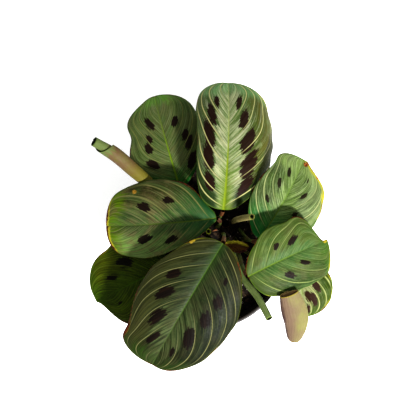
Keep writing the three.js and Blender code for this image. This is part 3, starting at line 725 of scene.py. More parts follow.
def leaf_material(name, look, seed):
    s = Shader(name)
    across, start, lane = s.split("weave")
    gap, along, off_rib = s.split("rib")
    edge, yellow, brown = s.split("rim")
    spot, speck, hue = s.split("spot")
    under = s.read("under").outputs["Fac"]
    out = s.math("ABSOLUTE", across)
    side = s.math("SIGN", across)
    broad = s.noise(60.0, 3.0)
    patches = s.noise(95.0, 4.0, 0.6)
    fine = s.noise(700.0, 3.0)

    def grain(across_lane, outwards, number):
        """Noise drawn out along the side veins."""
        third = s.sum(s.times(side, number), seed)
        return s.noise(1.0, vector=s.join(s.times(lane, across_lane), s.times(out, outwards), third))

    bands = grain(3.2, 1.0, 2.0)
    streaks = grain(7.0, 1.6, 3.0)
    threads = grain(19.0, 3.0, 5.0)
    hairs = grain(13.0, 2.4, 9.0)
    wires = grain(15.0, 2.0, 11.0)
    serration = grain(11.0, 1.2, 7.0)
    grit_place = s.join(s.times(lane, 9.0), s.times(out, 9.0), s.times(broad, 2.0))
    grit = s.noise(2.2, 4.0, 0.7, grit_place)
    striped = s.sum(s.times(streaks, 0.6), s.times(bands, 0.4))
    share = s.math("FRACT", lane)
    nearest = s.math("MINIMUM", share, s.minus(1.0, share))
    off_vein = s.times(nearest, gap)

    # The feather along the midrib, with darker wedges at the side veins
    s.colour = s.mix(s.step(striped, 0.44, 0.6), look["feather"], look["shade"])
    s.paint(s.step(threads, 0.53, 0.6, 0.0, 0.65), look["shade"])
    wedge = s.step(s.sum(nearest, s.times(serration, 0.15)), 0.36, 0.5)
    s.paint(s.times(wedge, s.step(out, 0.34, 0.02), look["wedge"]), look["shade"])
    feather = s.colour
    reach = s.sum(
        s.line(nearest, 0.0, 0.5, look["reach"] + 0.1, look["reach"] - 0.1),
        s.wobble(serration, 0.13), s.line(along, 0.0, 1.0, 0.0, -0.08),
    )
    feathered = s.times(
        s.step(s.minus(reach, out), -0.04, 0.06), s.step(along, 1.0, 0.86), s.step(start, -0.1, 0.05),
        s.step(along, look["feather_from"] - 0.3, look["feather_from"] + 0.1, 0.35, 1.0),
    )

    # The blade with its striations, its tinted side and its tip, and the feather on it
    s.colour = s.mix(s.step(striped, 0.4, 0.62), look["field"], look["streak"])
    s.paint(s.step(threads, 0.5, 0.62, 0.0, 0.6), look["field"])
    s.paint(s.step(hairs, 0.54, 0.61, 0.0, 0.7), look["streak"])
    tint_part = s.step(s.times(across, float(look["tint_side"])), 0.15, 0.75)
    tinted = s.times(tint_part, s.step(bands, 0.3, 0.6, 0.45, 1.0))
    s.paint(s.times(tinted, look["tint_share"]), look["tint"])
    tip_line = s.sum(along, s.wobble(broad, 0.03), s.wobble(streaks, 0.03))
    tip = s.times(s.step(tip_line, look["tip_from"], look["tip_from"] + 0.11), look["tip_share"])
    s.paint(tip, look["tip"])
    s.paint(feathered, feather)
    s.paint(s.times(tip, 0.6), look["tip"])
    # Painted light: the side away from the tint is painted paler, lifting the shadow that falls on it
    if look["paler"]:
        beyond = s.step(s.times(across, -float(look["tint_side"])), 0.22, 0.45)
        window = s.times(s.step(along, 0.3, 0.5), s.step(along, 0.95, 0.82))
        s.paint(s.times(beyond, window, 0.6), look["paler"])

    # Mottling, flecks and hairlines
    mottled = s.step(s.sum(patches, s.times(bands, 0.25)), 0.6, 0.78)
    s.paint(s.times(mottled, look["mottle_share"]), look["mottle"])
    s.paint(s.step(patches, 0.46, 0.32, 0.0, 0.45), look["shade"])
    rough_part = s.line(tinted, 0.0, 1.0, 1.0, 1.0 - look["tint_smooth"])
    s.paint(s.times(s.step(grit, 0.54, 0.66, 0.0, look["fleck_share"]), rough_part), look["fleck"])
    s.paint(s.step(grit, 0.44, 0.32, 0.0, look["fleck_share"]), look["field"])
    hairline = 0.42 * look["contrast"]
    s.paint(s.step(wires, 0.5, 0.6, 0.0, hairline), GROOVE_DARK)
    s.paint(s.times(s.step(hairs, 0.53, 0.62, 0.0, hairline), rough_part), look["fleck"])

    # The foot of the leaf: the lobes at both sides, painted dark as shade on some leaves, and the part
    # round the midrib, which on some leaves is a painted shadow in deep green
    lobe_and_shade = s.step(start, look["lobe_from"], look["lobe_from"] - 0.14)
    s.paint(s.times(lobe_and_shade, s.step(off_rib, 3.0, 8.0), 0.85), look["lobe_and_shade"])
    # Painted shadow on top_left, left and upper_right: the base colour in deep green over the foot
    low = s.step(s.sum(along, s.wobble(bands, 0.05)), look["base_reach"], 0.0)
    s.paint(s.times(low, s.step(off_rib, look["base_width"], 0.0), look["base_share"]), look["base"])

    # Side veins, thin at the midrib and broad towards the margin, with painted shade beside them;
    # blotches lie under them
    vein_half = s.line(out, 0.0, 0.8, 0.1, look["vein_width"])
    vein = s.step(s.minus(s.sum(off_vein, s.wobble(fine, 0.1, 0.5)), vein_half), 0.26, -0.12)
    strength = s.times(
        s.step(out, 0.05, 0.5, 0.25, 1.0), s.step(edge, 0.6, look["vein_fade"], 0.12, 1.0),
        s.step(start, look["vein_end"] + 0.15, look["vein_end"] - 0.05, 0.3, 1.0),
        s.step(bands, 0.25, 0.5, 0.55, 1.0),
    )
    # Painted shade: a band of the darker field colour beside each side vein, where the raised vein shades
    # the blade
    s.paint(s.times(s.step(off_vein, 1.1, 0.45), strength, 0.35), look["field"])
    blotch = s.step(s.sum(spot, s.wobble(serration, 0.15), s.wobble(fine, 0.1, 0.3)), 0.42, 0.54)
    dark = s.mix(s.step(threads, 0.45, 0.75, 0.0, 0.22), look["spot"], BLOTCH_GRAIN)
    s.paint(s.times(blotch, 0.97), dark)
    s.paint(s.times(vein, strength), look["vein"])

    # Margin, yellowed and burnt parts, and dead specks
    s.paint(s.step(s.sum(edge, s.wobble(fine, 0.3, 0.5)), 1.1, 0.2, 0.0, 0.6), look["margin"])
    wear = s.sum(edge, s.wobble(broad, 1.2), s.wobble(streaks, 1.0, 0.3))
    s.paint(s.step(s.minus(yellow, wear), 0.0, 2.0), YELLOWED)
    s.paint(s.step(s.minus(brown, wear), -0.3, 0.5), s.mix(s.step(fine, 0.4, 0.6), *BURNS))
    speck_colour = s.mix(hue, SPECK_YELLOW, s.mix(s.step(fine, 0.35, 0.6), *SPECK_BROWNS))
    s.paint(s.step(s.sum(speck, s.wobble(fine, 0.2)), 0.3, 0.7), speck_colour)
    blade = s.colour

    # Midrib
    low_half, high_half = s.line(along, 0.0, 0.45, look["rib"], 0.45), s.line(along, 0.45, 1.0, 0.45, 0.2)
    rib = s.step(s.minus(off_rib, s.math("MAXIMUM", low_half, high_half)), 0.3, -0.2)
    s.colour = s.mix(s.step(along, 0.3, 0.8, 0.0, 0.6), look["midrib"], look["feather"])
    s.paint(s.step(fine, 0.35, 0.7, 0.0, 0.3), look["shade"])
    front = s.mix(s.times(rib, s.step(along, 0.4, 0.9, 0.95, look["rib_end"])), blade, s.colour)

    # The underside is grey green with a mauve flush, and the veins stand out on it
    s.colour = s.mix(s.step(streaks, 0.35, 0.7), *UNDERSIDES)
    s.paint(s.step(broad, 0.4, 0.62, 0.0, 0.75), UNDERSIDE_FLUSH)
    s.paint(s.times(vein, 0.6), UNDERSIDE_VEIN)
    s.paint(rib, UNDERSIDE_RIB)
    s.colour = s.mix(under, front, s.colour)

    height = s.sum(s.times(streaks, 0.5), s.times(threads, 0.35), s.times(vein, -0.5), s.times(fine, 0.2))
    rough = s.sum(s.line(fine, 0.3, 0.7, 0.44, 0.56), s.times(blotch, 0.05), s.times(under, 0.12))
    return s.finish(rough, height, 0.00022, 0.1)


# Open leaves

def half_width(widths, angle):
    """Half width at an angle from 0 at the base to pi at the tip."""
    count = len(widths)
    turns = np.arange(1, count + 1) * math.pi / (count + 1)
    share = np.array(widths) / np.sin(turns) ** END_BLUNTNESS
    padded = np.concatenate([[share[0]] * 2, share, [share[-1]] * 3])
    x = np.clip(angle / math.pi * (count + 1), 0, count + 1 - 1e-9) + 1
    i = np.floor(x).astype(int)
    u = x - i
    a, b, c, d = padded[i - 1], padded[i], padded[i + 1], padded[i + 2]
    smooth = b + 0.5 * u * (c - a + u * (2 * a - 5 * b + 4 * c - d + u * (3 * b - a - 3 * c + d)))
    ends = TIP_HALF_WIDTH + (BASE_HALF_WIDTH - TIP_HALF_WIDTH) * (1 + np.cos(angle)) / 2
    return np.hypot(np.sin(np.clip(angle, 0, math.pi)) ** END_BLUNTNESS * smooth, ends)


def directions(leaf, s):
    """Tangent, right and up of the blade at shares of its length."""
    heading = np.radians(leaf["heading"] + leaf["bend"] * s)
    pitch = np.radians(leaf["rise"] + (leaf["fall"] - leaf["rise"]) * s)
    bank = math.radians(leaf["bank"])
    level = np.stack([np.sin(heading), -np.cos(heading), 0 * heading], -1)
    ahead = np.stack([np.cos(heading), np.sin(heading), np.tan(pitch)], -1)
    tangent = ahead * np.cos(pitch)[..., None]
    over = np.cross(level, tangent)
    right = level * math.cos(bank) + over * math.sin(bank)
    return tangent, right, over * math.cos(bank) - level * math.sin(bank)


def blade_surface(leaf, angle, across):
    """Points of the blade, share along it and half width, as the solid of the leaf has them."""
    right_side = across >= 0
    out = np.abs(across)
    length = leaf["length"]
    half = np.where(right_side, half_width(leaf["right"], angle), half_width(leaf["left"], angle))
    swept = (1 - np.cos(angle)) / 2 - ROW_SWEEP * np.sin(angle) ** 2 * (1 - out ** 1.5)
    s = swept + leaf["point"] / length * np.exp(-(((math.pi - angle) / TIP_REACH) ** 2))
    inside = np.clip(s, 0, 1)
    steps = (np.arange(MIDRIB_STEPS) + 0.5) / MIDRIB_STEPS
    forward = directions(leaf, steps)[0] * length / MIDRIB_STEPS
    rib = np.concatenate([[leaf["base"]], leaf["base"] + np.cumsum(forward, axis=0)])
    shares = np.linspace(0, 1, MIDRIB_STEPS + 1)
    place = np.stack([np.interp(inside, shares, rib[:, k]) for k in range(3)], -1)
    tangent, right, up = directions(leaf, inside)
    place = place + tangent * ((s - inside) * length)[..., None]
    distance = out * np.maximum(half - MARGIN_INSET, LEAST_HALF_WIDTH)
    fold = np.radians(np.where(right_side, leaf["fold"][1], leaf["fold"][0]))
    droop = np.radians(np.where(right_side, leaf["droop"][1], leaf["droop"][0]))
    curve = droop / np.where(right_side, max(leaf["right"]), max(leaf["left"]))
    sideways = (np.sin(fold) - np.sin(fold - curve * distance)) / curve
    lift = (np.cos(fold - curve * distance) - np.cos(fold)) / curve
    sideways = np.where(right_side, 1, -1) * sideways
    return place + right * sideways[..., None] + up * lift[..., None], s, half


def vein_start(leaf, side, s, out):
    """Share along the midrib where the side vein through a point of the blade leaves it."""
    slope = max(leaf[side]) / leaf["length"]
    reach = np.log(1 - np.minimum(out, 0.9999) / VEIN_REACH)
    return (s + VEIN_NEAR * slope * reach) / (1 - VEIN_FAR * slope * reach)


def lanes(leaf, side, start, points):
    """Number of the vein and space between veins, and the width of that space in millimetres."""
    veins = leaf.get(side + "_veins", VEINS)
    lane = np.interp(start, veins, np.arange(len(veins)))
    along, over = np.gradient(points, axis=0), np.gradient(points, axis=1)
    d_along, d_over = np.gradient(lane, axis=0), np.gradient(lane, axis=1)
    aa, ao, oo = (along * along).sum(-1), (along * over).sum(-1), (over * over).sum(-1)
    square = oo * d_along ** 2 - 2 * ao * d_along * d_over + aa * d_over ** 2
    square = square / np.maximum(aa * oo - ao ** 2, 1e-6)
    return lane, 1 / np.sqrt(np.maximum(square, 1e-4))


def spot_field(leaf, skew, sign, start, out):
    """One in the middle of a blotch, a half at its outline, nothing beyond."""
    field = np.zeros_like(start)
    for across, along, half_across, half_along in leaf["spots"]:
        if across * sign > 0:
            u, v = (out - abs(across)) / half_across, (start - along) / half_along
            away = np.sqrt((u * u + v * v + 2 * skew * u * v) / (1 - skew * skew))
            field = np.maximum(field, 1 - 0.5 * away)
    return field


def margin_distance(points):
    """Distance from each point of the blade to its margin."""
    margin = np.concatenate([points[:, 0], points[::-1, -1], points[:1, 0]])
    steps = np.linspace(0, len(margin) - 1, MARGIN_STEPS * len(margin))
    margin = np.stack([np.interp(steps, np.arange(len(margin)), margin[:, k]) for k in range(3)], -1)
    away = np.linalg.norm(points[:, :, None] - margin, axis=-1)
    return away.min(axis=-1)


def speck_field(leaf, points):
    """Strength and hue of the small dead specks of a leaf."""
    speck, hue = np.zeros(points.shape[:2]), np.zeros(points.shape[:2])
    for x, y, radius, tone in SPECKS.get(leaf["name"], []):
        near = np.clip(SPECK_REACH - np.hypot(points[..., 0] - x, points[..., 1] - y) / radius, 0, 1)
        hue = np.where(near > speck, tone, hue)
        speck = np.maximum(speck, near)
    return speck, hue


def sear_widths(leaf, sign, s):
    """How far in from the margin the blade has yellowed and dried."""
    yellow, brown = np.zeros_like(s), np.zeros_like(s)
    for side, start, end, pale, dry in leaf["sear"]:
        if side == sign:
            fade = SEAR_FADE * (end - start)
            close = smooth_step(s, start - fade, start + fade) * smooth_step(s, end + fade, end - fade)
            yellow = np.maximum(yellow, pale * close)
            brown = np.maximum(brown, dry * close)
    return yellow, brown


def make_leaf(leaf, look, seed):
    """A blade with relief between its veins; both sides have their own values at the midrib."""
    name = leaf["name"]
    u = np.linspace(0, 1, BLADE_COLUMNS + 1) ** COLUMN_SPREAD
    across = np.concatenate([-u[:0:-1], u])[None, :]
    angle = np.linspace(0, math.pi, BLADE_ROWS + 1)[:, None]
    angle, across = np.broadcast_arrays(angle, across)
    points, s, half = blade_surface(leaf, angle, across)
    out = np.abs(across)
    edge = margin_distance(points)
    speck, hue = speck_field(leaf, points)
    fields = []
    relief = np.zeros_like(out)
    sides = (("left", -1, slice(0, BLADE_COLUMNS + 1)), ("right", 1, slice(BLADE_COLUMNS, None)))
    for side, sign, columns in sides:
        start = vein_start(leaf, side, s, out)
        lane, gap = np.zeros_like(start), np.zeros_like(start)
        lane[:, columns], gap[:, columns] = lanes(leaf, side, start[:, columns], points[:, columns])
        spot = spot_field(leaf, look["skew"], sign, start, out)
        fields.append(dict(
            weave=(across + sign * 1e-4, start, lane), rib=(gap, s, out * half),
            rim=(edge, *sear_widths(leaf, sign, s)), spot=(spot, speck, hue),
        ))
        quilt = np.sin(math.pi * (lane % 1)) ** 0.8 * np.clip(gap / QUILT_FULL_GAP, 0.2, 1)
        quilt = quilt * smooth_step(out, 0.0, 0.3) * smooth_step(out, 1.0, 0.75)
        relief[:, columns] = QUILT_HEIGHT * quilt[:, columns]
    groove = np.exp(-((out * half / GROOVE_WIDTH) ** 2)) * np.sin(angle) ** 0.5
    phase = RIPPLES * s + 0.3 * seed + 0.25 * (across > 0)
    ripple = RIPPLE_HEIGHT * out ** 4 * np.sin(angle) ** 2 * np.sin(2 * math.pi * phase)
    thin = BLADE_THICKNESS / 2 * np.sqrt(np.clip(1 - 0.85 * out ** 8, 0, 1))
    above = thin + relief - GROOVE_ABOVE * groove + ripple
    below = thin - 0.8 * relief + GROOVE_BELOW * groove - ripple
    vertices, faces = closed_sheet(points, above, below)
    corners = faces % out.size
    on_left = (corners % out.shape[1]).max(axis=1) <= BLADE_COLUMNS
    attributes = {"under": np.where(faces >= out.size, 1.0, 0.0)}
    for key in fields[0]:
        left, right = (np.stack(field[key], -1).reshape(-1, 3)[corners] for field in fields)
        attributes[key] = np.where(on_left[:, None, None], left, right)
    material = leaf_material("leaf_" + name, look, seed)
    piece = new_piece("blade_" + name, vertices, faces, material, attributes)
    finish_piece(piece, "leaf_" + name)


for number, leaf in enumerate(LEAVES):
    make_leaf(leaf, column(LOOKS, number), float(number))


# Rolled leaves

def roll_material(name, seed, outer, vein, edge, inside_light_and_shade, flush, flush_share, shaded_side, ends):
    """A blade rolled with its underside out: fine veins run along it, its free edge is paler."""
    s = Shader(name)
    turn, along, off_edge = s.split("wrap")
    inside, rightward, _ = s.split("face")
    broad = s.noise(90.0)
    fine = s.noise(800.0)
    streaks = s.noise(1.0, 3.0, vector=s.join(s.times(turn, 34.0), s.times(along, 2.2), seed))
    threads = s.noise(1.0, vector=s.join(s.times(turn, 90.0), s.times(along, 4.0), seed))
    s.colour = s.mix(s.step(streaks, 0.38, 0.66), outer, vein)
    s.paint(s.step(s.sum(broad, s.times(streaks, 0.3)), 0.5, 0.78, 0.0, flush_share), flush)
    s.paint(s.step(threads, 0.5, 0.7, 0.0, 0.4), vein)
    for end_colour, none, full in ends:
        s.paint(s.step(s.sum(along, s.wobble(streaks, 0.2)), none, full, 0.0, 0.8), end_colour)
    # Painted shade on one side of the piece, in the flush colour and darkest at its edge
    if shaded_side:
        turned = s.sum(s.times(rightward, float(shaded_side)), s.wobble(broad, 0.15))
        s.paint(s.step(turned, -0.35, 0.6), flush)
        s.paint(s.step(turned, 0.75, 1.05, 0.0, 0.8), SIDE_SHADE_DARK)
    s.paint(s.step(s.sum(off_edge, s.times(fine, 0.5)), 1.5, 0.5, 0.0, 0.9), edge)
    # Painted shade and light inside: the inner face takes the inside colour, dark in most pieces and pale
    # in the half open roll
    s.paint(s.times(inside, 0.85), inside_light_and_shade)
    height = s.sum(s.times(streaks, 0.6), s.times(threads, 0.5), s.times(fine, 0.2))
    return s.finish(s.line(fine, 0.3, 0.7, 0.56, 0.7), height, 0.0003, 0.14)


def wound_piece(roll, material, centre, points, thin, turn, angle, along, off_edge):
    """Closes a wound sheet, which carries turns, place along, distance to its edge and facing."""
    vertices, faces = closed_sheet(points, thin, thin)
    even = np.zeros(points.shape[:2])
    corners = faces % even.size
    wrap = np.stack([turn + even, along + even, off_edge], -1).reshape(-1, 3)[corners]
    outward = np.cross(np.gradient(points, axis=1), np.gradient(points, axis=0))
    inner_is_top = (outward * (points - centre[:, None])).sum(-1).mean() < 0
    inside = (faces < even.size) if inner_is_top else (faces >= even.size)
    angles = angle.ravel()[corners]
    face = np.stack([inside.astype(float), np.cos(angles), np.sin(angles)], -1)
    attributes = {"wrap": wrap, "face": face}
    piece = new_piece("wrap_" + roll["name"], vertices, faces, material, attributes)
    finish_piece(piece, roll["name"])


def make_scroll(roll, material):
    """A young leaf that lies rolled up, with an oval section that changes along it."""
    centre, tangent, length = even_curve(dense_curve(roll["path"]), SCROLL_ROWS)
    level = unit(np.stack([tangent[:, 1], -tangent[:, 0], 0 * tangent[:, 0]], -1))
    over = np.cross(level, tangent)
    t = np.linspace(0, 1, SCROLL_ROWS + 1)
    shares, *stations = np.array(roll["stations"]).T
    outer, turns, height = [np.interp(t, shares, values)[:, None] for values in stations]
    share = np.linspace(0, 1, SCROLL_COLUMNS + 1)[None, :]
    turn = turns * share
    angle = math.radians(roll["start"]) + 2 * math.pi * turn
    ribs = np.sin(angle * SCROLL_RIBS) * smooth_step(np.minimum(share, 1 - share), 0, 0.05)
    inset = SCROLL_INSET + SCROLL_PITCH * (turns - turn) - SCROLL_RIB_HEIGHT * ribs
    points = round_axis(centre, level, over, angle, outer - inset, outer * height - inset)
    thin = SCROLL_WALL * np.sqrt(np.clip(1 - 0.8 * (2 * share - 1) ** 10, 0, 1)) + 0 * turn
    off_edge = np.minimum((1 - share) * turns * 2 * math.pi * outer, FAR_FROM_EDGE)
    off_edge = np.minimum(off_edge, np.minimum(t, 1 - t)[:, None] * length + 0.2)
    along = t[:, None] * length / STREAK_UNIT
    wound_piece(roll, material, centre, points, thin, turn, angle, along, off_edge)


def make_spike(spike, material):
    """A young leaf or an old wrapping: a narrow spiral that is open at its top."""
    centre, tangent, length = even_curve(dense_curve(spike["path"]), SPIKE_ROWS)
    side, other = carried_axes(tangent)
    t = np.linspace(0, 1, SPIKE_ROWS + 1)[:, None]
    radii = spike["radii"]
    outer = np.interp(t, np.linspace(0, 1, len(radii)), radii)
    share = np.linspace(0, 1, SPIKE_COLUMNS + 1)[None, :]
    turn = spike["turns"] * share
    angle = 2 * math.pi * turn + SPIKE_TWIST * t
    ribs = SPIKE_RIB_HEIGHT * np.sin(angle * SPIKE_RIBS)
    radius = outer - SPIKE_WALL - SPIKE_PITCH * (spike["turns"] - turn) + ribs
    radius = np.maximum(radius, SPIKE_LEAST_RADIUS)
    points = round_axis(centre, side, other, angle, radius, radius)
    slant = (0.8 * np.abs(share - 0.5) + 0.4) * smooth_step(t, 0.85, 1.0)
    points = points - tangent[:, None] * slant[..., None]
    thin = np.full(radius.shape, SPIKE_WALL)
    off_edge = np.minimum((1 - share) * 9 * outer, (1 - t) * length + 0.1)
    along = t * length / STREAK_UNIT
    wound_piece(spike, material, centre, points, thin, turn, angle, along, off_edge)


for number, roll in enumerate(SCROLLS):
    make_scroll(roll, roll_material(roll["name"], number + 0.5, **column(ROLL_LOOKS, number)))

for number, spike in enumerate(SPIKES):
    look = column(ROLL_LOOKS, len(SCROLLS) + number)
    make_spike(spike, roll_material(spike["name"], number + 4.5, **look))


# Stalks

def stalk_material(name, seed, joint):
    s = Shader(name)
    round_share, along, from_end = s.split("run")
    broad = s.noise(120.0)
    fine = s.noise(1200.0)
    streaks = s.noise(1.0, 3.0, vector=s.join(s.times(round_share, 16.0), s.times(along, 0.12), seed))
    s.colour = s.mix(s.step(streaks, 0.35, 0.68), *STALK_GREENS)
    s.paint(s.step(broad, 0.46, 0.64, 0.0, 0.6), STALK_FLUSH)
    s.paint(s.step(s.sum(along, s.times(broad, 20.0)), 22.0, 6.0, 0.0, 0.8), STALK_FOOT_COLOUR)
    at_joint = s.step(s.sum(from_end, s.times(fine, 0.8)), JOINT_LENGTH + 0.6, JOINT_LENGTH - 0.8)
    s.paint(at_joint, s.mix(s.step(streaks, 0.4, 0.65, 0.0, 0.5), joint, JOINT_STREAK))
    height = s.sum(s.times(streaks, 0.7), s.times(fine, 0.4))
    return s.finish(s.line(fine, 0.3, 0.7, 0.45, 0.6), height)


def stalk_path(root, lean, before, meet):
    """From the foot in the soil through a bend with two control points to the leaf."""
    meet, before, lean = np.array(meet, float), np.array(before, float), np.array(lean, float)
    meet = meet + unit(before - meet) * STALK_GAP
    mouth = np.array([*root, STALK_MOUTH])
    t = np.linspace(0, 1, 10)[:, None]
    bend = (1 - t) ** 3 * mouth + 3 * t * (1 - t) ** 2 * lean + 3 * t * t * (1 - t) * before + t ** 3 * meet
    return dense_curve([np.array([*root, SOIL_TOP - STALK_DEPTH]), *bend])


def make_stalk(name, stalk, joint, seed):
    centre, tangent, length = even_curve(stalk_path(*stalk), STALK_STEPS)
    side, other = carried_axes(tangent)
    reach = np.linspace(0, length, STALK_STEPS + 1)[:, None]
    swell = smooth_step(reach, length - JOINT_LENGTH - 0.8, length - JOINT_LENGTH + 1.2)
    swell = swell * (1 - 0.25 * smooth_step(reach, length - 1.5, length))
    radius = STALK_FOOT + (STALK_RADIUS - STALK_FOOT) * reach / length
    radius = radius + (JOINT_RADIUS - STALK_RADIUS) * swell
    angle = np.linspace(0, 2 * math.pi, STALK_SIDES, endpoint=False)[None, :]
    flutes = FLUTE_DEPTH * np.cos(angle * STALK_FLUTES) ** 2
    channel = CHANNEL_DEPTH * np.exp(-((angle - math.pi) / CHANNEL_WIDTH) ** 2)
    ring = radius * (1 - flutes - channel)
    points = round_axis(centre, side, other, angle, ring, ring)
    at = np.arange(ring.size).reshape(ring.shape)
    ends = [centre[:1] - tangent[:1] * STALK_CAPS[0], centre[-1:] + tangent[-1:] * STALK_CAPS[1]]
    vertices = np.concatenate([points.reshape(-1, 3), *ends])
    foot, head = np.full_like(at[:1], ring.size), np.full_like(at[:1], ring.size + 1)
    faces = ring_faces(np.concatenate([foot, at, head]))
    run = np.stack(np.broadcast_arrays(np.cos(angle), reach, length - reach), -1).reshape(-1, 3)
    run = np.concatenate([run, [[0, 0, length]], [[0, length, 0]]])
    material = stalk_material(name, seed, joint)
    piece = new_piece(name.replace("stalk", "petiole"), vertices, faces, material, {"run": run[faces]})
    piece.data.validate()
    finish_piece(piece, name)


for number, (name, stalk) in enumerate(STALKS.items()):
    make_stalk(name, stalk, JOINTS.get(name, PLAIN_JOINT), number * 1.7)


# Pot

def inner_radius(height):
    rim = POT_RIM_RADIUS - RIM_WIDTH
    return POT_FOOT_RADIUS - POT_WALL + (rim - POT_FOOT_RADIUS + POT_WALL) * height / POT_HEIGHT


def arc(centre, radius, start, end, count=5):
    angles = np.radians(np.linspace(start, end, count))
    return [(centre[0] + radius * math.cos(a), centre[1] + radius * math.sin(a)) for a in angles]


def pot_profile():
    """Radius and height from the middle of the underside, up the wall, to the middle inside."""
    under = POT_HEIGHT - RIM_BAND
    neck = inner_radius(under) + POT_WALL
    side = [(POT_FOOT_RADIUS + (neck - POT_FOOT_RADIUS) * (h - 0.9) / (under - 0.9), h)
            for h in np.linspace(2, under - 1.4, POT_STEPS)]
    inner = [(inner_radius(h), h) for h in np.linspace(POT_HEIGHT - 1.4, POT_FLOOR + 1.6, POT_STEPS)]
    floor = inner_radius(POT_FLOOR)
    rim, band = POT_RIM_RADIUS - SKIN, POT_RIM_RADIUS - BAND_INSET
    return [
        (0, SKIN), (PAD_RADIUS, SKIN), (PAD_RADIUS + PAD_SLOPE, FOOT_RECESS),
        (POT_FOOT_RADIUS - 5, FOOT_RECESS), (POT_FOOT_RADIUS - 3.7, 0.3),
        *arc((POT_FOOT_RADIUS - 3.2, 0.5), 0.5 - SKIN, 180, 270, 4),
        *arc((POT_FOOT_RADIUS - 0.9, 0.9), 0.9 - SKIN, 270, 350), *side,
        *arc((neck + 0.9, under - 0.9), 0.9, 180, 90)[1:],
        *arc((POT_RIM_RADIUS - 1.0, under + 1.0 + SKIN), 1.0 - SKIN, 270, 360),
        (rim, under + 3), (band, under + 3.5), (band, POT_HEIGHT - 3.6), (rim, POT_HEIGHT - 3.1),
        *arc((POT_RIM_RADIUS - 1.1 - SKIN, POT_HEIGHT - 1.1 - SKIN), 1.1, 0, 90, 7),
        *arc((inner_radius(POT_HEIGHT) + 1.0, POT_HEIGHT - 1.0 - SKIN), 1.0, 90, 180, 6),
        *inner, *arc((floor - 1.4, POT_FLOOR + 1.4), 1.4, 360, 270), (0, POT_FLOOR),
    ]


def lathe(profile, segments):
    """Corners and faces of a profile of radii and heights turned round the upright axis."""
    profile = np.array(profile, float)
    points, at = turned_grid(profile[:, :1], profile[:, 1:], segments)
    return points.reshape(-1, 3), ring_faces(at)


def cut(piece, tools):
    """Cuts the tools out of a piece for good."""
    for tool in tools:
        change = piece.modifiers.new("cut", "BOOLEAN")
        change.operation, change.object, change.solver = "DIFFERENCE", tool, "EXACT"
    graph = bpy.context.evaluated_depsgraph_get()
    shape = bpy.data.meshes.new_from_object(piece.evaluated_get(graph))
    piece.modifiers.clear()
    old, piece.data = piece.data, shape
    bpy.data.meshes.remove(old)
    for tool in tools:
        bpy.data.objects.remove(tool)


def pot_material():
    """Black plastic with scuffs round it, dust, and light grains on its rim."""
    s = Shader("pot")
    x, y, z = s.parts(s.place)
    turned = s.join(s.times(s.math("ARCTAN2", y, x), 9.0), s.times(z, 320.0), 2.0)
    scuff = s.noise(1.0, 4.0, 0.6, turned)
    grain = s.noise(1600.0, 3.0)
    dust = s.noise(55.0, 5.0, 0.65)
    s.colour = s.mix(s.step(scuff, 0.35, 0.75), *POT_BLACKS)
    s.paint(s.step(dust, 0.52, 0.72, 0.0, 0.35), POT_DUST)
    s.paint(s.step(grain, 0.66, 0.8, 0.0, 0.5), POT_GRAIN)
    s.paint(s.step(z, 0.095, 0.1, 0.0, 0.35), POT_RIM_GREY)
    rough = s.sum(s.line(scuff, 0.3, 0.7, 0.38, 0.5), s.step(dust, 0.5, 0.7, 0.0, 0.2))
    return s.finish(rough, s.sum(s.times(grain, 0.7), s.times(scuff, 0.3)), 0.00015)


def make_pot():
    material = pot_material()
    piece = new_piece("nursery_pot", *lathe(pot_profile(), POT_SEGMENTS), material)
    piece.data.validate()
    points, faces = lathe([(0, -5), (DRAIN_RADIUS, -5), (DRAIN_RADIUS, 8), (0, 8)], DRAIN_SEGMENTS)
    tools = []
    for angle in np.arange(DRAIN_HOLES) * 2 * math.pi / DRAIN_HOLES:
        place = DRAIN_RING * np.array([math.cos(angle), math.sin(angle), 0])
        tools.append(new_piece("hole", points + place, faces, material))
        tools[-1].data.validate()
    cut(piece, tools)
    finish_piece(piece, "pot")


make_pot()


# Soil

def waves(x, y, scale, count, seed):
    """A rough height field: sines in random directions."""
    random = np.random.default_rng(seed)
    total = np.zeros_like(x)
    for _ in range(count):
        way, phase = random.uniform(0, 2 * math.pi), random.uniform(0, 2 * math.pi)
        stretch = random.uniform(0.6, 1.7)
        total += np.sin((x * math.cos(way) + y * math.sin(way)) * stretch / scale + phase)
    return total / count ** 0.5


def soil_height(x, y):
    parts = (height * waves(x, y, *form, seed) for seed, (height, *form) in enumerate(SOIL_WAVES, 1))
    return SOIL_LEVEL + sum(parts)


def icosahedron():
    """Corners with a radius of about one, and triangles that face out."""
    signs = [(a, b) for b in (1, -1) for a in (1, -1)]
    corners = [(0, a, b * GOLDEN) for a, b in signs] + [(a, b * GOLDEN, 0) for a, b in signs]
    corners = np.array(corners + [(a * GOLDEN, 0, b) for a, b in signs])
    faces = []
    for triple in itertools.combinations(range(12), 3):
        a, b, c = corners[list(triple)]
        if max(np.linalg.norm(a - b), np.linalg.norm(b - c), np.linalg.norm(c - a)) < 2.1:
            faces.append(triple if np.dot(np.cross(b - a, c - a), a) > 0 else triple[::-1])
    return corners / np.linalg.norm(corners[0]), np.array(faces)


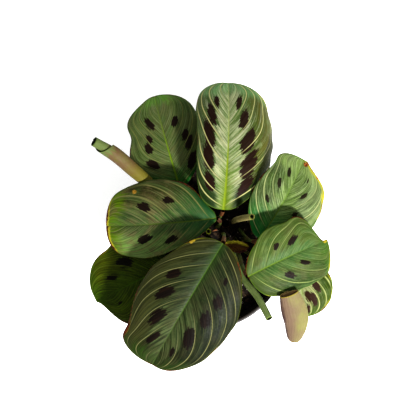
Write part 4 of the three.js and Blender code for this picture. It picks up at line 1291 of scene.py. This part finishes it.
def grains(count, sizes, flat, seat):
    """Irregular lumps scattered over the soil."""
    corners, triangles = icosahedron()
    away = (inner_radius(SOIL_TOP) - GRAIN_MARGIN) * np.sqrt(RANDOM.uniform(0, 1, count))
    turn = RANDOM.uniform(0, 2 * math.pi, count)
    x, y = away * np.cos(turn), away * np.sin(turn)
    size = RANDOM.uniform(*sizes, count) ** 1.5
    axes, _ = np.linalg.qr(RANDOM.normal(size=(count, 3, 3)))
    stretch = RANDOM.uniform(flat, 1.0, (count, 1, 3))
    jitter = RANDOM.uniform(*GRAIN_JITTER, (count, len(corners), 1))
    shape = np.einsum("nij,nkj->nki", axes, corners * stretch * jitter) * size[:, None, None]
    middle = np.stack([x, y, soil_height(x, y) + seat * size], -1)
    first = len(corners) * np.arange(count)[:, None, None]
    return (shape + middle[:, None]).reshape(-1, 3), (triangles + first).reshape(-1, 3)


def soil_material(name, dark, light, speck):
    s = Shader(name)
    lump = s.noise(260.0, 4.0, 0.65)
    fine = s.noise(1500.0, 3.0)
    bits = s.node("ShaderNodeTexVoronoi", {"Vector": s.place, "Scale": 520.0}).outputs["Color"]
    s.colour = s.mix(s.step(lump, 0.35, 0.7), dark, light)
    s.paint(s.step(s.parts(bits)[0], 0.86, 0.95, 0.0, 0.7), speck)
    s.paint(s.step(fine, 0.6, 0.75, 0.0, 0.4), speck)
    return s.finish(s.line(fine, 0.3, 0.7, 0.8, 0.98), s.sum(lump, fine), 0.0006)


def soil_body():
    """The uneven top of the soil, and its side down to a flat underside above the pot's floor."""
    top = np.linspace(0, 1, SOIL_RINGS + 1) * (inner_radius(SOIL_TOP) - SOIL_GAP)
    radius = np.concatenate([top, [inner_radius(POT_FLOOR) - SOIL_FOOT_GAP, 0]])[:, None]
    points, at = turned_grid(radius, 0, SOIL_SEGMENTS)
    points[..., 2] = soil_height(points[..., 0], points[..., 1])
    points[-2:, :, 2] = SOIL_UNDERSIDE
    return points.reshape(-1, 3), ring_faces(at)[:, [0, 3, 2, 1]]


def make_soil():
    material = soil_material("soil", *SOIL_COLOURS)
    ground = new_piece("potting_soil", *soil_body(), material, smooth=False)
    ground.data.validate()
    finish_piece(ground, "soil")
    for kind in GRAINS:
        shapes = grains(kind["count"], kind["sizes"], kind["flat"], kind["seat"])
        material = soil_material(kind["name"], *kind["colours"])
        finish_piece(new_piece(kind["name"], *shapes, material, smooth=False), "soil")


make_soil()


# Studio

def make_floor():
    """A wide table just below the pot."""
    s = Shader("backdrop")
    s.colour = s.mix(s.noise(4.0), FLOOR_COLOUR, FLOOR_GRAIN)
    s.finish(0.9)
    s.surface.inputs["Emission Color"].default_value = (1.0, 1.0, 1.0, 1.0)
    s.surface.inputs["Emission Strength"].default_value = FLOOR_GLOW
    corners = [(-1, -1, 0), (1, -1, 0), (1, 1, 0), (-1, 1, 0)]
    points = np.array(corners) * FLOOR_REACH - [0, 0, FLOOR_DROP]
    floor = new_piece("backdrop", points, [(0, 1, 2, 3)], s.material, smooth=False)


def make_light():
    """One small bright lamp from the lower right, and a pale sky."""
    key = bpy.data.lights.new("key", "AREA")
    key.size, key.energy = KEY_SIZE, KEY_POWER
    lamp = bpy.data.objects.new("key", key)
    rise, turn = math.radians(KEY_ELEVATION), math.radians(KEY_AZIMUTH)
    level = KEY_DISTANCE * math.cos(rise)
    height = KEY_AIM + KEY_DISTANCE * math.sin(rise)
    lamp.location = (level * math.cos(turn), level * math.sin(turn), height)
    lamp.rotation_euler = (math.pi / 2 - rise, 0, math.pi / 2 + turn)
    bpy.context.collection.objects.link(lamp)
    world = bpy.data.worlds.new("studio")
    world.use_nodes = True
    sky = world.node_tree.nodes["Background"].inputs
    sky["Color"].default_value = SKY_COLOUR
    sky["Strength"].default_value = SKY_STRENGTH
    bpy.context.scene.world = world


def make_camera():
    camera = bpy.data.cameras.new("camera")
    camera.lens, camera.sensor_width = CAMERA_LENS, CAMERA_SENSOR
    holder = bpy.data.objects.new("camera", camera)
    holder.location = [c * MM for c in CAMERA_PLACE]
    bpy.context.collection.objects.link(holder)
    bpy.context.scene.camera = holder


make_floor()
make_light()
make_camera()
bpy.context.scene.view_settings.view_transform = "Standard"
bpy.context.scene.view_settings.look = "High Contrast"
